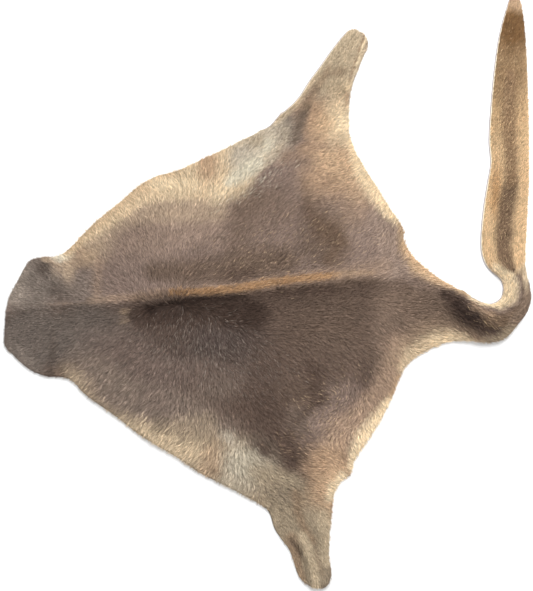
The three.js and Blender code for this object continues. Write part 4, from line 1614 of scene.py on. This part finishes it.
@dataclass(frozen=True)
class Tufts:
    """Tufts of hair whose tips meet, one in each square of a warped net, and their sizes in millimetres."""

    fine: float = 4.4
    coarse: float = 8.0
    ahead: float = 0.9
    warp: float = 2.0
    warp_length: float = 30.0
    margin: float = 0.15
    fine_light: float = 0.08
    coarse_light: float = 0.14
    pull: float = 0.5
    coarse_pull: float = 1.25
    kept: int = 4096
    mixers: tuple[int, int] = (7919, 104729)

    def meet(self, p: Cloud, way: np.ndarray, length: np.ndarray,
             coarse: np.ndarray) -> tuple[np.ndarray, np.ndarray]:
        """Where the tips of each tuft meet: a random place in each square of the net, a strand ahead.

        The square's numbers, mixed into one, pick its chances from a kept list.

        Args:
            p: the roots.
            way: the strands' directions.
            length: the strands' lengths.
            coarse: whether each strand belongs to a coarse tuft.

        Returns:
            The direction to the tuft's meeting place, and the tuft's lightness.
        """
        size = np.where(coarse, self.coarse, self.fine)
        warp_x = self.warp * ripple(p.x, p.y, Seed.WARP_X, self.warp_length)
        warp_y = self.warp * ripple(p.x, p.y, Seed.WARP_Y, self.warp_length)
        x = p.x + way[:, 0] * length * self.ahead + warp_x
        y = p.y + way[:, 1] * length * self.ahead + warp_y
        i, j = np.floor(x / size).astype(np.int64), np.floor(y / size).astype(np.int64)
        chance = np.random.default_rng(Seed.TUFTS).uniform(0.0, 1.0, (3, self.kept))
        own = (i * self.mixers[0] + j * self.mixers[1]) % self.kept
        inner = 1.0 - 2.0 * self.margin
        tip = np.stack([(i + self.margin + inner * chance[0, own]) * size,
                        (j + self.margin + inner * chance[1, own]) * size], axis=1)
        aim = unit(tip - np.stack([p.x, p.y], axis=1))
        contrast = np.where(coarse, self.coarse_light, self.fine_light)
        return aim, 1.0 + contrast * (2.0 * chance[2, own] - 1.0)

    def gather(self, way: np.ndarray, aim: np.ndarray, coarse: np.ndarray) -> np.ndarray:
        """Turns each strand towards its tuft's meeting place, more so in a coarse tuft."""
        pull = self.pull * np.where(coarse, self.coarse_pull, 1.0)[:, None]
        return unit(way * (1.0 - pull) + aim * pull)


@dataclass
class HairCoat:
    """The coat: strands rooted all over the leather, lying the way that the hair flows.

    The spreads are the least and most of what chance gives. The mixing is how far ahead of its root, as a
    share of its length, a strand takes its colour, at the least and most, and how far aside.
    """

    skin: Skin
    flow: HairFlow = HairFlow()
    locks: Locks = Locks()
    tufts: Tufts = Tufts()
    kinds: tuple[HairKind, ...] = (GUARD_HAIR, FINE_HAIR)
    length: float = 13.0
    width: float = 1.25
    lift: float = 1.0
    tufted: float = 0.25
    length_spread: tuple[float, float] = (0.7, 1.25)
    width_spread: tuple[float, float] = (0.7, 1.2)
    lift_spread: tuple[float, float] = (0.45, 1.0)
    lock_lift: float = 0.3
    steepest: float = 0.55
    roll: float = 0.35
    bow: float = 0.10
    fringe: float = 9.0
    ragged: float = 2.2
    ragged_length: float = 26.0
    ragged_plain: float = 0.25
    cuts: int = 8
    cut: float = 0.8
    shortest: float = 3.0
    mixing: tuple[float, float, float] = (0.25, 0.95, 0.15)
    grizzling: tuple[float, float] = (0.3, 0.8)
    floor_gap: float = 0.15

    def build(self, material: bpy.types.Material) -> list[bpy.types.Object]:
        """Builds the coat, a joined mesh for each part of the hide.

        Args:
            material: the hair's finish.

        Returns:
            The pieces.
        """
        p, _, top = self.skin.lay()
        normal = self.normals(p, top)
        rng = np.random.default_rng(Seed.STRANDS)
        kinds = [self.grow(kind, p, top, normal, rng) for kind in self.kinds]
        roots = [s.points[:, 0, :2] / MM + self.skin.plan.middle for s in kinds]
        pieces = []
        for part in COAT_PARTS:
            own = [strands.some(part.holds(root)) for strands, root in zip(kinds, roots)]
            pieces.append(self.weave(f"hair_{part.name}", own, material))
        return pieces

    def normals(self, p: Cloud, top: np.ndarray) -> np.ndarray:
        """Upward normals of the leather: the mean of the cells' cross products at each point.

        Args:
            p: the leather's plan places.
            top: its height.

        Returns:
            One normal a point.
        """
        at = np.column_stack([p.x, p.y, top])
        c = self.skin.plan.cells
        face = np.cross(at[c[:, 2]] - at[c[:, 0]], at[c[:, 3]] - at[c[:, 1]])
        total = np.zeros_like(at)
        for k in range(4):
            np.add.at(total, c[:, k], face)
        return unit(total)

    def growth(self, p: Cloud) -> tuple[np.ndarray, np.ndarray, np.ndarray, np.ndarray]:
        """Length, width, lift and tufting of the hair at each place, from the table of growths.

        Args:
            p: places on the hide.

        Returns:
            Four values a place.
        """
        values = np.tile([self.length, self.width, self.lift, self.tufted], (len(p.x), 1))
        for g in GROWTHS:
            near, share = g.share(p, PATCH_SOFT)
            goal = np.array([g.length, g.width, g.lift, g.tufted])
            values[near] += (goal - values[near]) * share[:, None]
        return tuple(values.T)

    def roots(self, p: Cloud, per_cm2: float, rng: np.random.Generator) -> tuple[np.ndarray, np.ndarray]:
        """Spreads roots over the cells by area, with more where the hair is short.

        Args:
            p: the leather's plan places.
            per_cm2: roots to a square centimetre where the hair has its usual length.
            rng: the seeded source of chance.

        Returns:
            Each root's four corners and their weights.
        """
        c = self.skin.plan.cells
        wide_a, wide_b = p.x[c[:, 2]] - p.x[c[:, 0]], p.x[c[:, 3]] - p.x[c[:, 1]]
        tall_a, tall_b = p.y[c[:, 2]] - p.y[c[:, 0]], p.y[c[:, 3]] - p.y[c[:, 1]]
        length = self.growth(p)[0][c].mean(axis=1)
        share = np.cumsum(np.abs(wide_a * tall_b - wide_b * tall_a) / 2.0 * np.sqrt(self.length / length))
        count = int(share[-1] * per_cm2 / 100.0)
        pick = (np.arange(count) + rng.uniform(0.0, 1.0, count)) * share[-1] / count
        own = np.minimum(np.searchsorted(share, pick), len(c) - 1)
        u, v = rng.uniform(0.0, 1.0, count), rng.uniform(0.0, 1.0, count)
        return c[own], np.stack([(1 - u) * (1 - v), u * (1 - v), u * v, (1 - u) * v], axis=1)

    def grow(self, kind: HairKind, p: Cloud, top: np.ndarray, normal: np.ndarray,
             rng: np.random.Generator) -> Strands:
        """Grows one kind of hair.

        A strand leaves its root along the flow, and its way is turned towards the middle of its tuft. It is
        shortened until its tip is no further out over the hide's edge than its own overhang, which chance
        and a ragged wave give it. A lock stands higher than the gaps beside it and takes painted light, while
        the gaps take painted shade.

        Args:
            kind: the hair's sizes.
            p: the leather's plan places.
            top: the leather's height.
            normal: its normals.
            rng: the seeded source of chance.

        Returns:
            The strands.
        """
        corners, weight = self.roots(p, kind.per_cm2, rng)
        at = p.blend(corners, weight)
        drawn = DRAWN_MARGIN.width(at)
        keep = at.inward > np.maximum(BARE_MARGIN.width(at), drawn)
        corners, weight, drawn = corners[keep], weight[keep], drawn[keep]
        at = p.blend(corners, weight)
        count = len(at.x)
        full_length, full_width, lift, tufted = self.growth(at)

        way = turned(self.flow.direction(at), rng.normal(0.0, kind.spread, count))
        coarse = rng.uniform(0.0, 1.0, count) < tufted
        aim, tuft_light = self.tufts.meet(at, way, full_length, coarse)
        way = self.tufts.gather(way, aim, coarse)
        length = full_length * kind.length * rng.uniform(*self.length_spread, count)
        thinned = self.fringe * (rng.uniform(0.0, 1.0, count) ** 3 - 0.5)
        ragged = np.maximum(ripple(at.x, at.y, Seed.RAGGED, self.ragged_length), 0.0)
        overhang = thinned * np.minimum(full_length / self.length, 1.0) - drawn
        overhang += self.ragged * (self.ragged_plain + tufted) * ragged
        length = self.trimmed(at, way, length, overhang)
        lock = self.locks.at(at, way)
        depth = self.skin.relief.coat_height(at) * kind.lift * lift * rng.uniform(*self.lift_spread, count)
        depth = np.minimum(depth * (1.0 + self.lock_lift * lock), self.steepest * length)

        middle = self.skin.plan.middle
        root = np.column_stack([at.x - middle[0], at.y - middle[1], (top[corners] * weight).sum(axis=1)])
        up = unit((normal[corners] * weight[:, :, None]).sum(axis=1))
        points = self.blades(kind, root, up, way, length, depth, full_width, rng)
        # Each strand's own random tint, times painted light on a lock or painted shade in a gap by where it
        # lies, times its tuft's lightness.
        light = np.exp(rng.normal(0.0, kind.tint, count) + self.locks.light(tufted) * lock) * tuft_light
        colour = self.colour(at, way * length[:, None], rng) * light[:, None]
        return Strands(points * MM, colour, np.array([t for _, t in kind.outline]))

    def blades(self, kind: HairKind, root: np.ndarray, up: np.ndarray, way: np.ndarray, length: np.ndarray,
               depth: np.ndarray, width: np.ndarray, rng: np.random.Generator) -> np.ndarray:
        """Points of the strands.

        At the share t of its length a strand has risen by its depth times 1 - (1 - t)^2 and bows aside by
        its bow times 4t(1 - t). Its outline lies across it, rolled a little round the strand by chance.

        Args:
            kind: the hair's sizes.
            root: the roots, in millimetres.
            up: the leather's normals there.
            way: the strands' plan directions.
            length: their lengths.
            depth: how far each tip rises.
            width: the hair's width at each place.
            rng: the seeded source of chance.

        Returns:
            The outline's points of each strand, in millimetres.
        """
        count = len(root)
        along = np.column_stack([way, np.zeros(count)])
        along = unit(along - up * (along * up).sum(axis=1, keepdims=True))
        side = np.cross(up, along)
        roll = rng.normal(0.0, self.roll, count)[:, None]
        across = side * np.cos(roll) + up * np.sin(roll)
        wide = (width * kind.width * rng.uniform(*self.width_spread, count))[:, None]
        bow = side * (rng.normal(0.0, self.bow, count) * length)[:, None]
        rows = []
        for share, t in kind.outline:
            rise = (1.0 - (1.0 - t) ** 2) * depth[:, None]
            rows.append(root + along * t * length[:, None] + up * rise + bow * 4.0 * t * (1.0 - t)
                        + across * wide * share)
        points = np.stack(rows, axis=1)
        points[:, :, 2] = np.maximum(points[:, :, 2], self.floor_gap)
        return points

    def colour(self, at: Cloud, way: np.ndarray, rng: np.random.Generator) -> np.ndarray:
        """Colour of each strand: the coat's at some place along it, so two coats mix where they meet.

        Args:
            at: the roots.
            way: the way from each root to its tip.
            rng: the seeded source of chance.

        Returns:
            One linear colour a strand.
        """
        count = len(at.x)
        least, most, aside = self.mixing
        step = way * rng.uniform(least, most, count)[:, None]
        step += rng.normal(0.0, aside, (count, 2)) * np.linalg.norm(way, axis=1, keepdims=True)
        colour = self.skin.coats.paint(at.moved(step[:, 0], step[:, 1]))
        for g in GRIZZLES:
            near, share = g.share(at, PATCH_SOFT)
            own = near[rng.uniform(0.0, 1.0, len(near)) < g.part * share]
            mix = rng.uniform(*self.grizzling, len(own))[:, None]
            colour[own] += (srgb_to_linear(g.coat.value) - colour[own]) * mix
        return colour

    def trimmed(self, at: Cloud, way: np.ndarray, length: np.ndarray, overhang: np.ndarray) -> np.ndarray:
        """Shortens strands, a cut at a time, whose tips would stand too far out from the hide's edge.

        Args:
            at: the roots.
            way: the strands' directions.
            length: their lengths.
            overhang: how far out each tip may be.

        Returns:
            The new lengths.
        """
        for _ in range(self.cuts):
            depth = self.skin.plan.edge.at(at.x + way[:, 0] * length, at.y + way[:, 1] * length)
            length = np.where(depth < -overhang, length * self.cut, length)
        return np.maximum(length, self.shortest)

    @staticmethod
    def weave(name: str, kinds: list[Strands], material: bpy.types.Material) -> bpy.types.Object:
        """Joins strands into one piece, with their attributes and a plan map.

        Args:
            name: the piece's name.
            kinds: strands of each kind.
            material: the hair's finish.

        Returns:
            The piece.
        """
        points = np.concatenate([s.points.reshape(-1, 3) for s in kinds])
        start = np.cumsum([0] + [s.points.shape[0] * s.points.shape[1] for s in kinds])
        faces = np.concatenate([s.faces(first) for s, first in zip(kinds, start)])
        colour = np.concatenate([np.repeat(s.colour, s.points.shape[1], axis=0) for s in kinds])
        piece = new_piece(name, points, faces, material, False)
        set_attribute(piece, "coat", colour)
        set_attribute(piece, "along", np.concatenate([np.tile(s.along, len(s.points)) for s in kinds]))
        plan = (points[:, :2] - points[:, :2].min(axis=0)) / np.ptp(points[:, :2], axis=0).max()
        layer = piece.data.uv_layers.new(name="OFBake")
        layer.data.foreach_set("uv", plan[faces.ravel()].astype(np.float32).ravel())
        return piece


@dataclass
class Studio:
    """The plain studio: white paper floor, soft light from above the hide's upper edge, camera overhead.

    The photograph's frame is given by its height and the floor's drop in millimetres, the rest in metres.
    """

    plan: HidePlan
    frame_height: float = 1182.0
    lens: float = 85.0
    sensor: float = 24.0
    view_end: float = 100.0
    floor_size: float = 12.0
    floor_drop: float = 0.4
    room_light: float = 0.74
    softbox_place: tuple[float, float, float] = (0.9, 2.4, 2.9)
    softbox_size: float = 2.6
    softbox_watts: float = 160.0

    def lay_floor(self) -> None:
        """Lays the paper just under the hide."""
        s = self.floor_size / 2.0
        points = np.array([[-s, -s, 0.0], [s, -s, 0.0], [s, s, 0.0], [-s, s, 0.0]])
        points[:, 2] = -self.floor_drop * MM
        new_piece("floor", points, np.array([[0, 1, 2, 3]]), FloorFinish().make(), False)

    def hang_softbox(self) -> None:
        """Hangs one square softbox beyond the hide's upper edge, facing its middle."""
        light = bpy.data.lights.new("softbox", "AREA")
        light.shape, light.size, light.energy = "SQUARE", self.softbox_size, self.softbox_watts
        lamp = bpy.data.objects.new("softbox", light)
        x, y, z = self.softbox_place
        lamp.location = self.softbox_place
        lamp.rotation_euler = (math.atan2(math.hypot(x, y), z), 0.0, math.atan2(y, x) + math.pi / 2.0)
        bpy.context.scene.collection.objects.link(lamp)

    def light_room(self) -> None:
        """Lights the room with even white from all round."""
        world = bpy.data.worlds.new("room")
        world.use_nodes = True
        world.node_tree.nodes["Background"].inputs["Color"].default_value = (1.0, 1.0, 1.0, 1.0)
        world.node_tree.nodes["Background"].inputs["Strength"].default_value = self.room_light
        bpy.context.scene.world = world

    def place_camera(self) -> None:
        """Puts the camera straight above the middle of the photograph's frame."""
        camera = bpy.data.cameras.new("overhead")
        camera.lens, camera.sensor_fit, camera.sensor_height = self.lens, "VERTICAL", self.sensor
        camera.clip_end = self.view_end
        holder = bpy.data.objects.new("overhead", camera)
        distance = self.frame_height * MM * self.lens / self.sensor
        holder.location = (-self.plan.middle[0] * MM, -self.plan.middle[1] * MM, distance)
        bpy.context.scene.collection.objects.link(holder)
        bpy.context.scene.camera = holder

    def build(self) -> None:
        """Places the camera, lays the floor, hangs the lights and keeps the picture's colours plain."""
        self.place_camera()
        self.lay_floor()
        self.light_room()
        self.hang_softbox()
        bpy.context.scene.view_settings.view_transform = "Standard"
        bpy.context.scene.view_settings.look = "None"


def main() -> None:
    """Builds the hide around its frame and reports each piece."""
    logging.basicConfig(level=logging.INFO, format="%(message)s")
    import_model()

    plan = HidePlan()
    Studio(plan).build()

    skin = Skin(plan, Relief(), CoatMap())
    leather = skin.build(LeatherFinish().make())
    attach(leather, "root")
    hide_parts("hide")
    log.info("leather: %d faces", len(leather.data.polygons))

    total = 0
    for piece in HairCoat(skin).build(HairFinish().make()):
        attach(piece, "root")
        total += len(piece.data.polygons)
        log.info("%s: %d triangles", piece.name, len(piece.data.polygons))
    log.info("hair in all: %d triangles", total)


if __name__ == "__main__":
    main()
